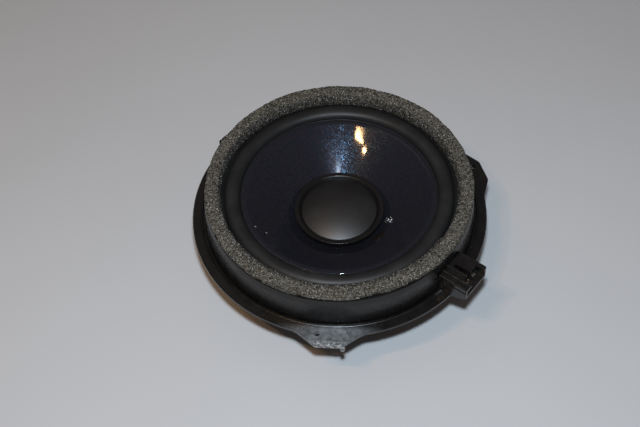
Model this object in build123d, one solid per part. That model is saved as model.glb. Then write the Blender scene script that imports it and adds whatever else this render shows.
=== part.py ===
"""Door loudspeaker for a car, 165 mm class, as separate pieces in millimetres.

The origin is the centre of the magnet's flat back plate.  +Z points out of the cone, towards the listener, and
the first mounting lug lies towards -Y.  Each node is written as parts/NODE.step.
"""

import os
from math import atan2, cos, degrees, pi, radians, sin, tan

from build123d import *

# Flange and lugs
FLANGE_R = 92.5
FLANGE_TOP = 40.0
FLANGE_T = 3.0
FLANGE_EDGE_BREAK = 0.6
LUGS = (                            # angle, tip radius, nub radius, angle from the lug's centre line to its hole
    (-90.0, 99.8, 99.6, -4.0),
    (22.0, 97.9, None, 3.1),
    (142.0, 97.9, 98.0, -4.0),
)
LUG_SPAN = 54.0                     # width across which a lug's outline differs from the flange
LUG_TIP_HALF_WIDTH = 7.6
LUG_FOOT_HALF_ANGLE = 13.0
LUG_ROOT_R = 88.0
LUG_TIP_FILLET = 3.5
LUG_FOOT_FILLET = 22.0
LUG_EDGE_BREAK = 0.4
LUG_HOLE_R = 1.75
LUG_HOLE_AT_R = 92.3
LUG_PIP_AT = (91.1, 7.6)            # radius, angle from the lug's centre line
LUG_PIP_R = 1.1
LUG_PIP_RISE = 0.8
LUG_NUB_ANGLE = 5.1
LUG_NUB_R = 1.5
LUG_NUB_DROP = 1.6
TOP_ROUND_SHARE = 0.6               # rounding of a pip or nub as a share of its radius
BEAD_R = (85.9, 87.7)               # rounded bead on the flange, outside the groove at the wall's foot
BEAD_RISE = 0.6
GROOVE_DEPTH = 0.8

# Front wall of the basket, and the recess that holds the surround and the foam
WALL_FOOT_R = 85.0
WALL_SHOULDER = (83.3, 56.5)
WALL_TOP = (82.0, 60.0)
RECESS_R = 80.0
LANDING_Z = 54.5
LANDING_INNER_R = 72.2
LANDING_T = 2.2

# Back of the basket
PLASTIC_T = 2.5
FLOOR_Z = 17.5
FLOOR_INNER_R = 22.0
LEDGE_Z = 25.5
LEDGE_R = (39.5, 46.5)
LEG_COUNT = 6
LEG_WIDTH = 13.0
WINDOW_R = (51.0, 76.0)
RIB_T = 2.0
RIB_OUTLINE = ((42.5, 20.5), (47.5, 17.8), (81.0, 30.6), (81.0, 37.0), (78.5, 37.0), (46.0, 24.0))
LEG_SHOULDER = (80.8, 34.8)         # where the legs meet the underside of the flange
SKIRT_R = 83.0                      # foot of the slant between a leg and the flange's underside
BLADE_SLOT_CLEARANCE = 0.1

# Motor
PLATE_R = 40.0
MAGNET_R = 41.5
MAGNET_HOLE_R = 22.5
BACK_PLATE_T = 4.5
TOP_PLATE_T = 4.0
TOP_PLATE_R = 37.5
GAP_OUTER_R = 14.2
POLE_R = 12.3
POLE_SPIGOT_R = 10.0
POLE_SPIGOT_DEPTH = 2.5
SPIGOT_CLEARANCE = 0.02
GLUE_T = 0.2
SCREW_COUNT = 4
SCREW_PCD_R = 30.0
SCREW_SHANK_R = 1.9
SCREW_HEAD_R = 3.2
SCREW_HEAD_T = 1.4
SCREW_CLEARANCE = 0.1
SCREW_TIP_GAP = 0.4                 # the tip stops short of the top plate's rear face
SCREW_CROSS = (3.4, 0.7, 1.4)

# Moving parts
FORMER_R = (12.65, 12.95)
FORMER_Z = (10.0, 31.2)
COIL_R = 13.7
COIL_Z = (10.5, 20.5)
COIL_LEAD_T = 0.1
COIL_LEAD_WIDTH = 1.2
COIL_LEAD_ANGLE = 12.0
CONE_T = 0.7
CONE_EDGE_R = 60.6
CONE_EDGE_Z = 56.2
CONE_LIP_R = 57.8
CONE_SEAT = (27.6, 36.8)            # where the cap ring stands on the cone
CONE_NECK = (13.85, 30.0)
CONE_COLLAR_R = 13.15
CONE_COLLAR_DEPTH = 2.4
CAP_RIM_R = 28.2
CAP_RIM_Z = 41.6
CAP_RIM_LAND_R = 25.6
CAP_SEAT = (23.8, 39.3)
CAP_WALL = 0.8
CAP_CROWN = 5.4
SURROUND_T = 0.8
SURROUND_LIP_R = 58.4
SURROUND_OUTER_R = 79.7
ROLL_R = (61.2, 71.4)
ROLL_TOP_Z = 60.2
SPIDER_R = (13.25, 45.8)
SPIDER_T = 0.5
SPIDER_ROLLS = 6
SPIDER_ROLL_R = (18.0, 40.8)
SPIDER_WAVE = 1.0

# Foam seal
FOAM_R = (73.2, 83.2)
FOAM_TOP_Z = 64.6
FOAM_BED_T = 0.3
FOAM_FOOT_SETBACK = 0.8
FOAM_CLEARANCE = 0.1

# Connector, in its own directions: u outwards, v across, z up
CONNECTOR_ANGLE = -33.1
CONN_U = (83.6, 102.6)
CONN_V = (-12.5, 9.6)
CONN_TOP = 53.2
CONN_MOUTH_BOTTOM = 44.4
CONN_WALL = 1.6
CONN_BACK_WALL = 3.0
CONN_CLEARANCE = 0.05
CONN_RIBS = ((-11.7, 0.9), (-7.9, 0.9), (-3.3, 0.5))    # place across, radius
CONN_NOTCH_U = 96.8
CONN_NOTCH_V = (-7.0, 6.6)
CONN_SLOT_V = (-2.0, 0.4)
CONN_CORNER_R = 0.8
CONN_RIB_SHORT = 0.8                # how far the ribs stop short of the mouth
CONN_KEY_U = 91.6
CONN_KEY_DEPTH = 0.6
CONN_KEY_Z = (49.8, 51.0)
CONN_KEY_RIB_V = (-1.6, 0.0)
CONN_KEY_RIB_RISE = 0.7
CONN_KEY_RIB_SETBACK = 2.5
BLADE_V = (-5.2, 2.3)
BLADE_Z = 49.3
BLADE_T = 0.8
BLADE_WIDTH = 2.8
BLADE_U = (76.6, 99.0)
TAB_WIDTH = 4.2
TAB_LENGTH = 3.4
LEAD_D = 1.2
LEAD_ROUTE = ((73.9, 48.25), (69.0, 46.55), (62.5, 42.35), (56.0, 37.85), (48.5, 34.95), (40.8, 35.25),
              (34.2, 38.0))         # u, z of the lead that runs straight outwards
LEAD_ENDS = ((34.2, -5.2), (30.5, 10.9))    # u, v where each lead meets the cone
SOLDER_R = 1.5
SOLDER_SINK = 0.6

# Adhesive on the front of the cone, over the lead ends: radius, angle, ball radius, how far the ball is sunk
DABS = ((32.4, -13.5, 2.6, 1.55), (33.0, -40.0, 4.6, 4.0))
DAB_CLEARANCE = 0.03

os.makedirs("parts", exist_ok=True)


# ---------- helpers ----------

def turned(points):
    """Solid of revolution about Z from a closed outline of (radius, height) points."""
    return revolve(make_face(Plane.XZ * Polyline(*points, close=True)), Axis.Z)


def turned_edges(edges):
    """Solid of revolution about Z from connected edges drawn in (radius, height)."""
    return revolve(make_face(Plane.XZ * Wire(edges)), Axis.Z)


def tube(inner, outer, low, high):
    """Plain ring between two radii and two heights."""
    return turned([(inner, low), (outer, low), (outer, high), (inner, high)])


def disc(radius, low, high):
    """Upright cylinder between two heights."""
    return Pos(0, 0, (low + high) / 2) * Cylinder(radius, high - low)


def at_polar(radius, angle, height=0.0):
    """Location on a circle about Z, turned so that its X points outwards."""
    return Rot(0, 0, angle) * Pos(radius, 0, height)


def block(u_range, v_range, z_range):
    """Box from its limits along the connector's own directions."""
    size = [high - low for low, high in (u_range, v_range, z_range)]
    middle = [(high + low) / 2 for low, high in (u_range, v_range, z_range)]
    return Pos(*middle) * Box(*size)


def prism(outline, v_range):
    """Solid from a closed outline in (u, z), carried across v."""
    low, high = v_range
    face = make_face(Plane.XZ * Polyline(*outline, close=True))
    return Pos(0, high, 0) * extrude(face, high - low)


def cone_height(radius):
    """Height of the cone's front face at a radius outside the cap ring."""
    (r0, z0), (r1, z1) = CONE_SEAT, (CONE_LIP_R, CONE_EDGE_Z)
    return z0 + (z1 - z0) * (radius - r0) / (r1 - r0)


def save(node, shape):
    """Write one node, as its solids, to its own file."""
    shape = shape if isinstance(shape, Compound) else Compound(children=shape.solids())
    export_step(shape, f"parts/{node}.step")


# ---------- basket ----------

def make_lug(tip_r, nub_r):
    """One mounting lug, drawn for a lug that lies along +X."""
    foot = radians(LUG_FOOT_HALF_ANGLE)
    foot_r = FLANGE_R - FLANGE_EDGE_BREAK
    flanks = Polyline(
        (0, 0),
        (foot_r * cos(foot), -foot_r * sin(foot)),
        (tip_r, -LUG_TIP_HALF_WIDTH),
        (tip_r, LUG_TIP_HALF_WIDTH),
        (foot_r * cos(foot), foot_r * sin(foot)),
        close=True,
    )
    outline = Circle(foot_r) + make_face(flanks)
    tips = [corner for corner in outline.vertices() if abs(corner.X - tip_r) < 0.01]
    outline = fillet(tips, LUG_TIP_FILLET)
    feet = [corner for corner in outline.vertices()
            if abs(corner.X - foot_r * cos(foot)) < 0.01 and abs(abs(corner.Y) - foot_r * sin(foot)) < 0.01]
    outline = fillet(feet, LUG_FOOT_FILLET)
    near_lug = Pos(LUG_ROOT_R, 0) * Rectangle(LUG_ROOT_R, LUG_SPAN)
    outline = (outline - Circle(LUG_ROOT_R)) & near_lug
    plate = extrude(outline, FLANGE_T)
    plate = Pos(0, 0, FLANGE_TOP - FLANGE_T) * plate
    rim = [edge for edge in plate.edges().group_by(Axis.Z)[-1] if (edge @ 0.5).X > foot_r]
    plate = chamfer(rim, LUG_EDGE_BREAK)
    pip = at_polar(*LUG_PIP_AT) * disc(LUG_PIP_R, FLANGE_TOP - LUG_EDGE_BREAK, FLANGE_TOP + LUG_PIP_RISE)
    lug = plate + fillet(pip.edges().group_by(Axis.Z)[-1], LUG_PIP_R * TOP_ROUND_SHARE)
    if nub_r:
        nub = at_polar(nub_r, LUG_NUB_ANGLE) * disc(LUG_NUB_R, FLANGE_TOP - FLANGE_T - LUG_NUB_DROP,
                                                    FLANGE_TOP - LUG_NUB_DROP)
        lug += fillet(nub.edges().group_by(Axis.Z)[-1], LUG_NUB_R * TOP_ROUND_SHARE)
    return lug


def make_foot_bead():
    """Low rounded bead round the flange."""
    inner, outer = BEAD_R
    low = FLANGE_TOP - BEAD_RISE
    crown = ((inner + outer) / 2, FLANGE_TOP + BEAD_RISE)
    edges = [
        Line((inner, low), (inner, FLANGE_TOP)),
        ThreePointArc((inner, FLANGE_TOP), crown, (outer, FLANGE_TOP)),
        Line((outer, FLANGE_TOP), (outer, low)),
        Line((outer, low), (inner, low)),
    ]
    return turned_edges(edges)


def make_windows():
    """Ring sectors that open the back of the basket between its legs."""
    half_leg = degrees(LEG_WIDTH / 2 / (sum(WINDOW_R) / 2))
    span = 360 / LEG_COUNT - 2 * half_leg
    blank = tube(*WINDOW_R, FLOOR_Z, FLANGE_TOP)
    keep = []
    for k in range(LEG_COUNT):
        start = CONNECTOR_ANGLE + half_leg + k * 360 / LEG_COUNT
        reach = 2 * WINDOW_R[1]
        ends = [radians(start), radians(start + span / 2), radians(start + span)]
        wedge = Polyline((0, 0), *[(reach * cos(a), reach * sin(a)) for a in ends], close=True)
        sector = extrude(make_face(wedge), 2 * FLANGE_TOP)
        keep.append(blank & sector)
    return keep


def make_leg_ribs():
    """Stiffening ribs down the outside of the legs."""
    rib = prism(RIB_OUTLINE, (-RIB_T / 2, RIB_T / 2))
    return [Rot(0, 0, CONNECTOR_ANGLE + k * 360 / LEG_COUNT) * rib for k in range(LEG_COUNT)]


def make_basket():
    """Moulded frame: wall, flange, lugs, legs, spider ledge and floor."""
    low_flange = FLANGE_TOP - FLANGE_T
    body = turned([
        (FLOOR_INNER_R, FLOOR_Z),
        (LEDGE_R[0] - 1.3, FLOOR_Z),
        (LEDGE_R[0] + 2.0, LEDGE_Z - PLASTIC_T),
        (LEDGE_R[1] + 1.9, LEDGE_Z - PLASTIC_T),
        LEG_SHOULDER,
        (SKIRT_R, low_flange),
        (FLANGE_R - FLANGE_EDGE_BREAK, low_flange),
        (FLANGE_R, low_flange + FLANGE_EDGE_BREAK),
        (FLANGE_R, FLANGE_TOP - FLANGE_EDGE_BREAK),
        (FLANGE_R - FLANGE_EDGE_BREAK, FLANGE_TOP),
        (BEAD_R[0], FLANGE_TOP),
        (BEAD_R[0], FLANGE_TOP - GROOVE_DEPTH),
        (WALL_FOOT_R + 0.1, FLANGE_TOP - GROOVE_DEPTH),
        (WALL_FOOT_R, FLANGE_TOP),
        WALL_SHOULDER,
        (WALL_TOP[0] + 0.4, WALL_TOP[1] - 0.4),
        WALL_TOP,
        (RECESS_R, WALL_TOP[1]),
        (RECESS_R, LANDING_Z),
        (LANDING_INNER_R, LANDING_Z),
        (LANDING_INNER_R, LANDING_Z - LANDING_T),
        (RECESS_R - 0.8, LANDING_Z - LANDING_T),
        (RECESS_R - 0.4, FLANGE_TOP - 1.0),
        (LEDGE_R[1] + 0.5, LEDGE_Z),
        (LEDGE_R[0], LEDGE_Z),
        (LEDGE_R[0] - 3.2, FLOOR_Z + PLASTIC_T),
        (FLOOR_INNER_R, FLOOR_Z + PLASTIC_T),
    ])
    body = body + make_foot_bead()
    body = body + [Rot(0, 0, angle) * make_lug(tip_r, nub_r) for angle, tip_r, nub_r, _ in LUGS]
    body = body - make_windows()
    body = body + make_leg_ribs()
    holes = []
    for angle, _, _, offset in LUGS:
        holes.append(at_polar(LUG_HOLE_AT_R, angle + offset) * disc(LUG_HOLE_R, low_flange - 1, FLANGE_TOP + 1))
    for k in range(SCREW_COUNT):
        place = at_polar(SCREW_PCD_R, 45 + k * 360 / SCREW_COUNT)
        holes.append(place * disc(SCREW_SHANK_R + SCREW_CLEARANCE, FLOOR_Z - 1, FLOOR_Z + 4))
    run = (BLADE_U[0], CONN_U[0] + CONN_BACK_WALL)
    for v in BLADE_V:
        holes.append(Rot(0, 0, CONNECTOR_ANGLE) * blade_slot(run, v, BLADE_SLOT_CLEARANCE))
    return body - holes


# ---------- motor ----------

def make_back_plate():
    """Steel plate with a recess for the pole's spigot."""
    plate = turned([(0, 0), (PLATE_R - 0.8, 0), (PLATE_R, 0.8), (PLATE_R, BACK_PLATE_T), (0, BACK_PLATE_T)])
    recess_r = POLE_SPIGOT_R + SPIGOT_CLEARANCE
    return plate - disc(recess_r, BACK_PLATE_T - POLE_SPIGOT_DEPTH, BACK_PLATE_T + 1)


def make_pole_piece():
    """Steel pole with a spigot below and a chamfered crown."""
    top = FLOOR_Z
    return turned([
        (0, BACK_PLATE_T - POLE_SPIGOT_DEPTH),
        (POLE_SPIGOT_R, BACK_PLATE_T - POLE_SPIGOT_DEPTH),
        (POLE_SPIGOT_R, BACK_PLATE_T),
        (POLE_R, BACK_PLATE_T),
        (POLE_R, top - 0.5),
        (POLE_R - 0.5, top),
        (0, top),
    ])


def make_magnet():
    """Ferrite ring with broken edges."""
    low = BACK_PLATE_T + GLUE_T
    high = FLOOR_Z - TOP_PLATE_T - GLUE_T
    break_edge = 0.8
    return turned([
        (MAGNET_HOLE_R, low),
        (MAGNET_R - break_edge, low),
        (MAGNET_R, low + break_edge),
        (MAGNET_R, high - break_edge),
        (MAGNET_R - break_edge, high),
        (MAGNET_HOLE_R, high),
    ])


def make_top_plate():
    """Steel plate that holds the outside of the magnetic gap."""
    plate = tube(GAP_OUTER_R, TOP_PLATE_R, FLOOR_Z - TOP_PLATE_T, FLOOR_Z)
    holes = [
        at_polar(SCREW_PCD_R, 45 + k * 360 / SCREW_COUNT)
        * disc(SCREW_SHANK_R, FLOOR_Z - TOP_PLATE_T - 1, FLOOR_Z + 1)
        for k in range(SCREW_COUNT)
    ]
    return plate - holes


def make_motor_screws():
    """Pan-head screws that hold the basket's floor to the top plate."""
    seat = FLOOR_Z + PLASTIC_T
    shank = disc(SCREW_SHANK_R, FLOOR_Z - TOP_PLATE_T + SCREW_TIP_GAP, seat)
    head = disc(SCREW_HEAD_R, seat, seat + SCREW_HEAD_T)
    head = fillet(head.edges().group_by(Axis.Z)[-1], SCREW_HEAD_T / 2)
    drive = [Rot(0, 0, turn) * Pos(0, 0, seat + SCREW_HEAD_T) * Box(*SCREW_CROSS) for turn in (0, 90)]
    screw = shank + head - drive
    return Compound(children=[
        at_polar(SCREW_PCD_R, 45 + k * 360 / SCREW_COUNT) * screw for k in range(SCREW_COUNT)
    ])


# ---------- suspension and cone ----------

def make_surround():
    """Rubber half roll with a flat lip under the cone's edge and a flat landing on the basket."""
    low_lip = CONE_EDGE_Z - CONE_T - SURROUND_T
    top_lip = CONE_EDGE_Z - CONE_T
    top_land = LANDING_Z + SURROUND_T
    middle = sum(ROLL_R) / 2
    edges = [
        Line((SURROUND_LIP_R, low_lip), (SURROUND_LIP_R, top_lip)),
        Line((SURROUND_LIP_R, top_lip), (ROLL_R[0], top_lip)),
        ThreePointArc((ROLL_R[0], top_lip), (middle, ROLL_TOP_Z), (ROLL_R[1], top_land)),
        Line((ROLL_R[1], top_land), (SURROUND_OUTER_R, top_land)),
        Line((SURROUND_OUTER_R, top_land), (SURROUND_OUTER_R, LANDING_Z)),
        Line((SURROUND_OUTER_R, LANDING_Z), (ROLL_R[1] - SURROUND_T, LANDING_Z)),
        ThreePointArc((ROLL_R[1] - SURROUND_T, LANDING_Z), (middle, ROLL_TOP_Z - SURROUND_T),
                      (ROLL_R[0] + SURROUND_T, low_lip)),
        Line((ROLL_R[0] + SURROUND_T, low_lip), (SURROUND_LIP_R, low_lip)),
    ]
    return turned_edges(edges)


def make_spider():
    """Corrugated cloth disc between the basket's ledge and the former."""
    low, high = LEDGE_Z, LEDGE_Z + SPIDER_T
    start, stop = SPIDER_ROLL_R
    pitch = (stop - start) / (2 * SPIDER_ROLLS)

    def waves(level):
        """Arcs that swing up and down in turn at one level."""
        arcs = []
        for k in range(2 * SPIDER_ROLLS):
            left = start + k * pitch
            swing = SPIDER_WAVE if k % 2 else -SPIDER_WAVE
            arcs.append(ThreePointArc((left, level), (left + pitch / 2, level + swing), (left + pitch, level)))
        return arcs

    edges = [Line((SPIDER_R[0], high), (start, high)), *waves(high), Line((stop, high), (SPIDER_R[1], high)),
             Line((SPIDER_R[1], high), (SPIDER_R[1], low)),
             Line((SPIDER_R[1], low), (stop, low)), *waves(low), Line((start, low), (SPIDER_R[0], low)),
             Line((SPIDER_R[0], low), (SPIDER_R[0], high))]
    return turned_edges(edges)


def make_cone():
    """Moulded cone with a flat edge, a slightly curved flank and a neck collar."""
    t = CONE_T
    bottom = CONE_NECK[1] - CONE_COLLAR_DEPTH
    drop = t / cos(atan2(CONE_EDGE_Z - CONE_SEAT[1], CONE_LIP_R - CONE_SEAT[0]))
    under_seat = (CONE_SEAT[0] + 0.1, CONE_SEAT[1] - drop)
    return turned([
        (CONE_COLLAR_R, bottom),
        (CONE_COLLAR_R + t, bottom),
        (CONE_COLLAR_R + t, CONE_NECK[1] - drop),
        under_seat,
        (CONE_LIP_R + 0.3, CONE_EDGE_Z - t),
        (CONE_EDGE_R, CONE_EDGE_Z - t),
        (CONE_EDGE_R, CONE_EDGE_Z),
        (CONE_LIP_R, CONE_EDGE_Z),
        CONE_SEAT,
        CONE_NECK,
        (CONE_COLLAR_R, CONE_NECK[1]),
    ])


def make_cap_ring():
    """Collar that stands on the cone and carries the cap inside its rolled rim."""
    foot_r = CONE_SEAT[0]
    slope = (CONE_EDGE_Z - CONE_SEAT[1]) / (CONE_LIP_R - foot_r)
    inner_slope = (CONE_SEAT[1] - CONE_NECK[1]) / (foot_r - CONE_NECK[0])
    seat_r, seat_z = CAP_SEAT
    edges = [
        Line((foot_r - CAP_WALL, CONE_SEAT[1] - CAP_WALL * inner_slope), CONE_SEAT),
        Line(CONE_SEAT, (foot_r + 0.15, CONE_SEAT[1] + 0.15 * slope)),
        Line((foot_r + 0.15, CONE_SEAT[1] + 0.15 * slope), (CAP_RIM_R, CAP_RIM_Z - 0.7)),
        ThreePointArc((CAP_RIM_R, CAP_RIM_Z - 0.7), (CAP_RIM_R - 0.2, CAP_RIM_Z - 0.2),
                      (CAP_RIM_R - 0.7, CAP_RIM_Z)),
        Line((CAP_RIM_R - 0.7, CAP_RIM_Z), (CAP_RIM_LAND_R, CAP_RIM_Z - 0.2)),
        Line((CAP_RIM_LAND_R, CAP_RIM_Z - 0.2), (seat_r + 0.1, seat_z + 0.1)),
        Line((seat_r + 0.1, seat_z + 0.1), (seat_r + 0.1, seat_z - 0.7)),
        Line((seat_r + 0.1, seat_z - 0.7), (seat_r - 1.4, seat_z - 0.7)),
        Line((seat_r - 1.4, seat_z - 0.7), (seat_r - 1.4, seat_z - 1.5)),
        Line((seat_r - 1.4, seat_z - 1.5), (foot_r - CAP_WALL, seat_z - 1.5)),
        Line((foot_r - CAP_WALL, seat_z - 1.5), (foot_r - CAP_WALL, CONE_SEAT[1] - CAP_WALL * inner_slope)),
    ]
    return turned_edges(edges)


def make_dust_cap():
    """Shallow dome that sits on the ring's inner step."""
    seat_r, seat_z = CAP_SEAT
    base = seat_z - 0.7
    edges = [
        Line((0, base + CAP_CROWN), (0, base + CAP_CROWN + CAP_WALL)),
        RadiusArc((0, base + CAP_CROWN + CAP_WALL), (seat_r, base + CAP_WALL), dome_radius(CAP_CROWN, seat_r)),
        Line((seat_r, base + CAP_WALL), (seat_r, base)),
        Line((seat_r, base), (seat_r - 1.2, base)),
        RadiusArc((seat_r - 1.2, base), (0, base + CAP_CROWN), -dome_radius(CAP_CROWN, seat_r - 1.2)),
    ]
    return turned_edges(edges)


def dome_radius(rise, half_chord):
    """Radius of the arc that rises a given height over half a chord."""
    return (half_chord ** 2 + rise ** 2) / (2 * rise)


def make_neck_adhesive():
    """Bead that bonds the cone's collar to the former."""
    inner = FORMER_R[1]
    low = CONE_NECK[1] - CONE_COLLAR_DEPTH
    return turned([
        (inner, low + 0.4),
        (CONE_COLLAR_R, low + 0.4),
        (CONE_COLLAR_R, CONE_NECK[1]),
        (CONE_NECK[0], CONE_NECK[1]),
        (inner, CONE_NECK[1] + 1.1),
    ])


def make_coil_leads():
    """Two flat copper strips that run up the former from the winding."""
    ring = tube(FORMER_R[1], FORMER_R[1] + COIL_LEAD_T, COIL_Z[1], CONE_NECK[1] - CONE_COLLAR_DEPTH - 0.1)
    half = COIL_LEAD_WIDTH / 2
    cutter = block((0, FORMER_R[1] + 2), (-half, half), (0, CONE_EDGE_Z))
    strips = [ring & (Rot(0, 0, CONNECTOR_ANGLE + turn) * cutter) for turn in (-COIL_LEAD_ANGLE, COIL_LEAD_ANGLE)]
    return Compound(children=[solid for strip in strips for solid in strip.solids()])


# ---------- foam ----------

def make_foam_bed():
    """Thin adhesive ring between the surround's landing and the foam."""
    low = LANDING_Z + SURROUND_T
    return tube(FOAM_R[0] + 1.0, SURROUND_OUTER_R, low, low + FOAM_BED_T)


def make_foam_gasket():
    """Open-cell foam ring, stepped to sit in the recess and over the wall's top."""
    inner, outer = FOAM_R
    low = LANDING_Z + SURROUND_T + FOAM_BED_T
    step = WALL_TOP[1] + FOAM_CLEARANCE
    return turned([
        (inner + FOAM_FOOT_SETBACK, low),
        (RECESS_R - FOAM_CLEARANCE, low),
        (RECESS_R - FOAM_CLEARANCE, step),
        (outer - 0.2, step),
        (outer, step + 0.6),
        (outer, FOAM_TOP_Z - 1.8),
        (outer - 1.0, FOAM_TOP_Z - 0.6),
        (outer - 2.2, FOAM_TOP_Z),
        (inner + 1.8, FOAM_TOP_Z),
        (inner + 0.5, FOAM_TOP_Z - 1.2),
        (inner, low + 3.0),
        (inner + 0.2, low + 1.0),
    ])


# ---------- connector ----------

def make_connector_housing():
    """Socket with an open mouth, a latch notch, keying ribs and a slanted underside."""
    u0, u1 = CONN_U
    outline = [(u0, FLANGE_TOP), (FLANGE_R, FLANGE_TOP), (u1, CONN_MOUTH_BOTTOM), (u1, CONN_TOP), (u0, CONN_TOP)]
    body = prism(outline, CONN_V)
    mouth_edges = body.edges().filter_by(Axis.Z).group_by(Axis.X)[-1]
    body = fillet(mouth_edges, CONN_CORNER_R)
    for v, rib_r in CONN_RIBS:
        rib = Cylinder(rib_r, u1 - u0 - CONN_RIB_SHORT)
        body += Pos((u0 + u1 - CONN_RIB_SHORT) / 2, v, CONN_TOP) * Rot(0, 90, 0) * rib
    cavity = block((u0 + CONN_BACK_WALL, u1 + 1), (CONN_V[0] + CONN_WALL, CONN_V[1] - CONN_WALL),
                   (CONN_MOUTH_BOTTOM + CONN_WALL, CONN_TOP - CONN_WALL))
    notch = block((CONN_NOTCH_U, u1 + 1), CONN_NOTCH_V, (CONN_TOP - CONN_WALL - 1, CONN_TOP + 2))
    through_top = (CONN_TOP - CONN_WALL - 1, CONN_TOP + 2)
    slot = block((u0 + CONN_BACK_WALL, CONN_NOTCH_U + 1), CONN_SLOT_V, through_top)
    key = block((CONN_KEY_U, u1 + 1), (CONN_V[0] - 1, CONN_V[0] + CONN_KEY_DEPTH), CONN_KEY_Z)
    body -= [cavity, notch, slot, key]
    key_rib = block((u0 + CONN_BACK_WALL, u1 - CONN_KEY_RIB_SETBACK), CONN_KEY_RIB_V,
                    (CONN_MOUTH_BOTTOM + CONN_WALL / 2, CONN_MOUTH_BOTTOM + CONN_WALL + CONN_KEY_RIB_RISE))
    body += key_rib
    for v in BLADE_V:
        body -= blade_slot((u0 - 2, u0 + 5), v, CONN_CLEARANCE)
    clear_r = WALL_FOOT_R + CONN_CLEARANCE
    wall = turned([(0, 0), (clear_r, 0), (clear_r, FLANGE_TOP),
                   (WALL_SHOULDER[0] + CONN_CLEARANCE, WALL_SHOULDER[1]), (0, WALL_SHOULDER[1])])
    bead_room = tube(BEAD_R[0] - CONN_CLEARANCE, BEAD_R[1] + CONN_CLEARANCE, FLANGE_TOP - 1,
                     FLANGE_TOP + BEAD_RISE + CONN_CLEARANCE)
    return (Rot(0, 0, CONNECTOR_ANGLE) * body) - wall - bead_room


def blade_slot(u_range, v, clearance):
    """Slot that a blade passes through."""
    half_width = BLADE_WIDTH / 2 + clearance
    half_height = BLADE_T / 2 + clearance
    return block(u_range, (v - half_width, v + half_width), (BLADE_Z - half_height, BLADE_Z + half_height))


def make_terminal(v):
    """Flat blade with a wider solder tab inside the basket."""
    half = BLADE_T / 2
    blade = block(BLADE_U, (v - BLADE_WIDTH / 2, v + BLADE_WIDTH / 2), (BLADE_Z - half, BLADE_Z + half))
    blade = chamfer(blade.edges().filter_by(Axis.Y).group_by(Axis.X)[-1], 0.3)
    tab = block((BLADE_U[0] - TAB_LENGTH, BLADE_U[0]), (v - TAB_WIDTH / 2, v + TAB_WIDTH / 2),
                (BLADE_Z - half, BLADE_Z + half))
    return Rot(0, 0, CONNECTOR_ANGLE) * (blade + tab)


def corner_radii(points):
    """Largest smooth corner radii: 0.45 of the shorter run over the tangent of half the turn."""
    radii = []
    for before, here, after in zip(points, points[1:], points[2:]):
        run_in = Vector(here) - Vector(before)
        run_out = Vector(after) - Vector(here)
        turn = radians(run_in.get_angle(run_out))
        radii.append(0.45 * min(run_in.length, run_out.length) / tan(turn / 2))
    return radii


def make_tinsel_lead(v, end):
    """Flexible lead from a solder tab to the back of the cone, in one upright plane."""
    (u0, _), (u1, _) = LEAD_ROUTE[0], LEAD_ROUTE[-1]
    end_u, end_v = end
    shares = [(u0 - u) / (u0 - u1) for u, _ in LEAD_ROUTE]
    points = [(u0 + (end_u - u0) * share, v + (end_v - v) * share, z) for share, (_, z) in zip(shares, LEAD_ROUTE)]
    path = FilletPolyline(*points, radius=corner_radii(points))
    start = Vector(points[0])
    direction = Vector(points[1]) - start
    lead = sweep(Plane(origin=start, z_dir=direction) * Circle(LEAD_D / 2), path)
    print("tinsel lead length", round(path.length, 1), "volume share",
          round(lead.volume / (path.length * pi * LEAD_D ** 2 / 4), 4))
    return Rot(0, 0, CONNECTOR_ANGLE) * lead


def make_lead_dabs():
    """Two low domes of adhesive on the front of the cone, where the leads come through."""
    slope = (CONE_EDGE_Z - CONE_SEAT[1]) / (CONE_LIP_R - CONE_SEAT[0])
    dabs = []
    for radius, angle, ball_r, sunk in DABS:
        dome = Pos(0, 0, DAB_CLEARANCE - sunk) * (Sphere(ball_r) & disc(ball_r, sunk, ball_r))
        dabs.append(at_polar(radius, angle, cone_height(radius)) * Rot(0, -degrees(atan2(slope, 1)), 0) * dome)
    return Compound(children=[solid for dab in dabs for solid in dab.solids()])


def make_terminal_solder():
    """Solder mounds on the inner tabs."""
    mound = Sphere(SOLDER_R) & disc(SOLDER_R, SOLDER_SINK, SOLDER_R)
    mounds = [
        Rot(0, 0, CONNECTOR_ANGLE) * Pos(BLADE_U[0] - TAB_LENGTH / 2, v, BLADE_Z + BLADE_T / 2 - SOLDER_SINK) * mound
        for v in BLADE_V
    ]
    return Compound(children=[solid for item in mounds for solid in item.solids()])


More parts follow.
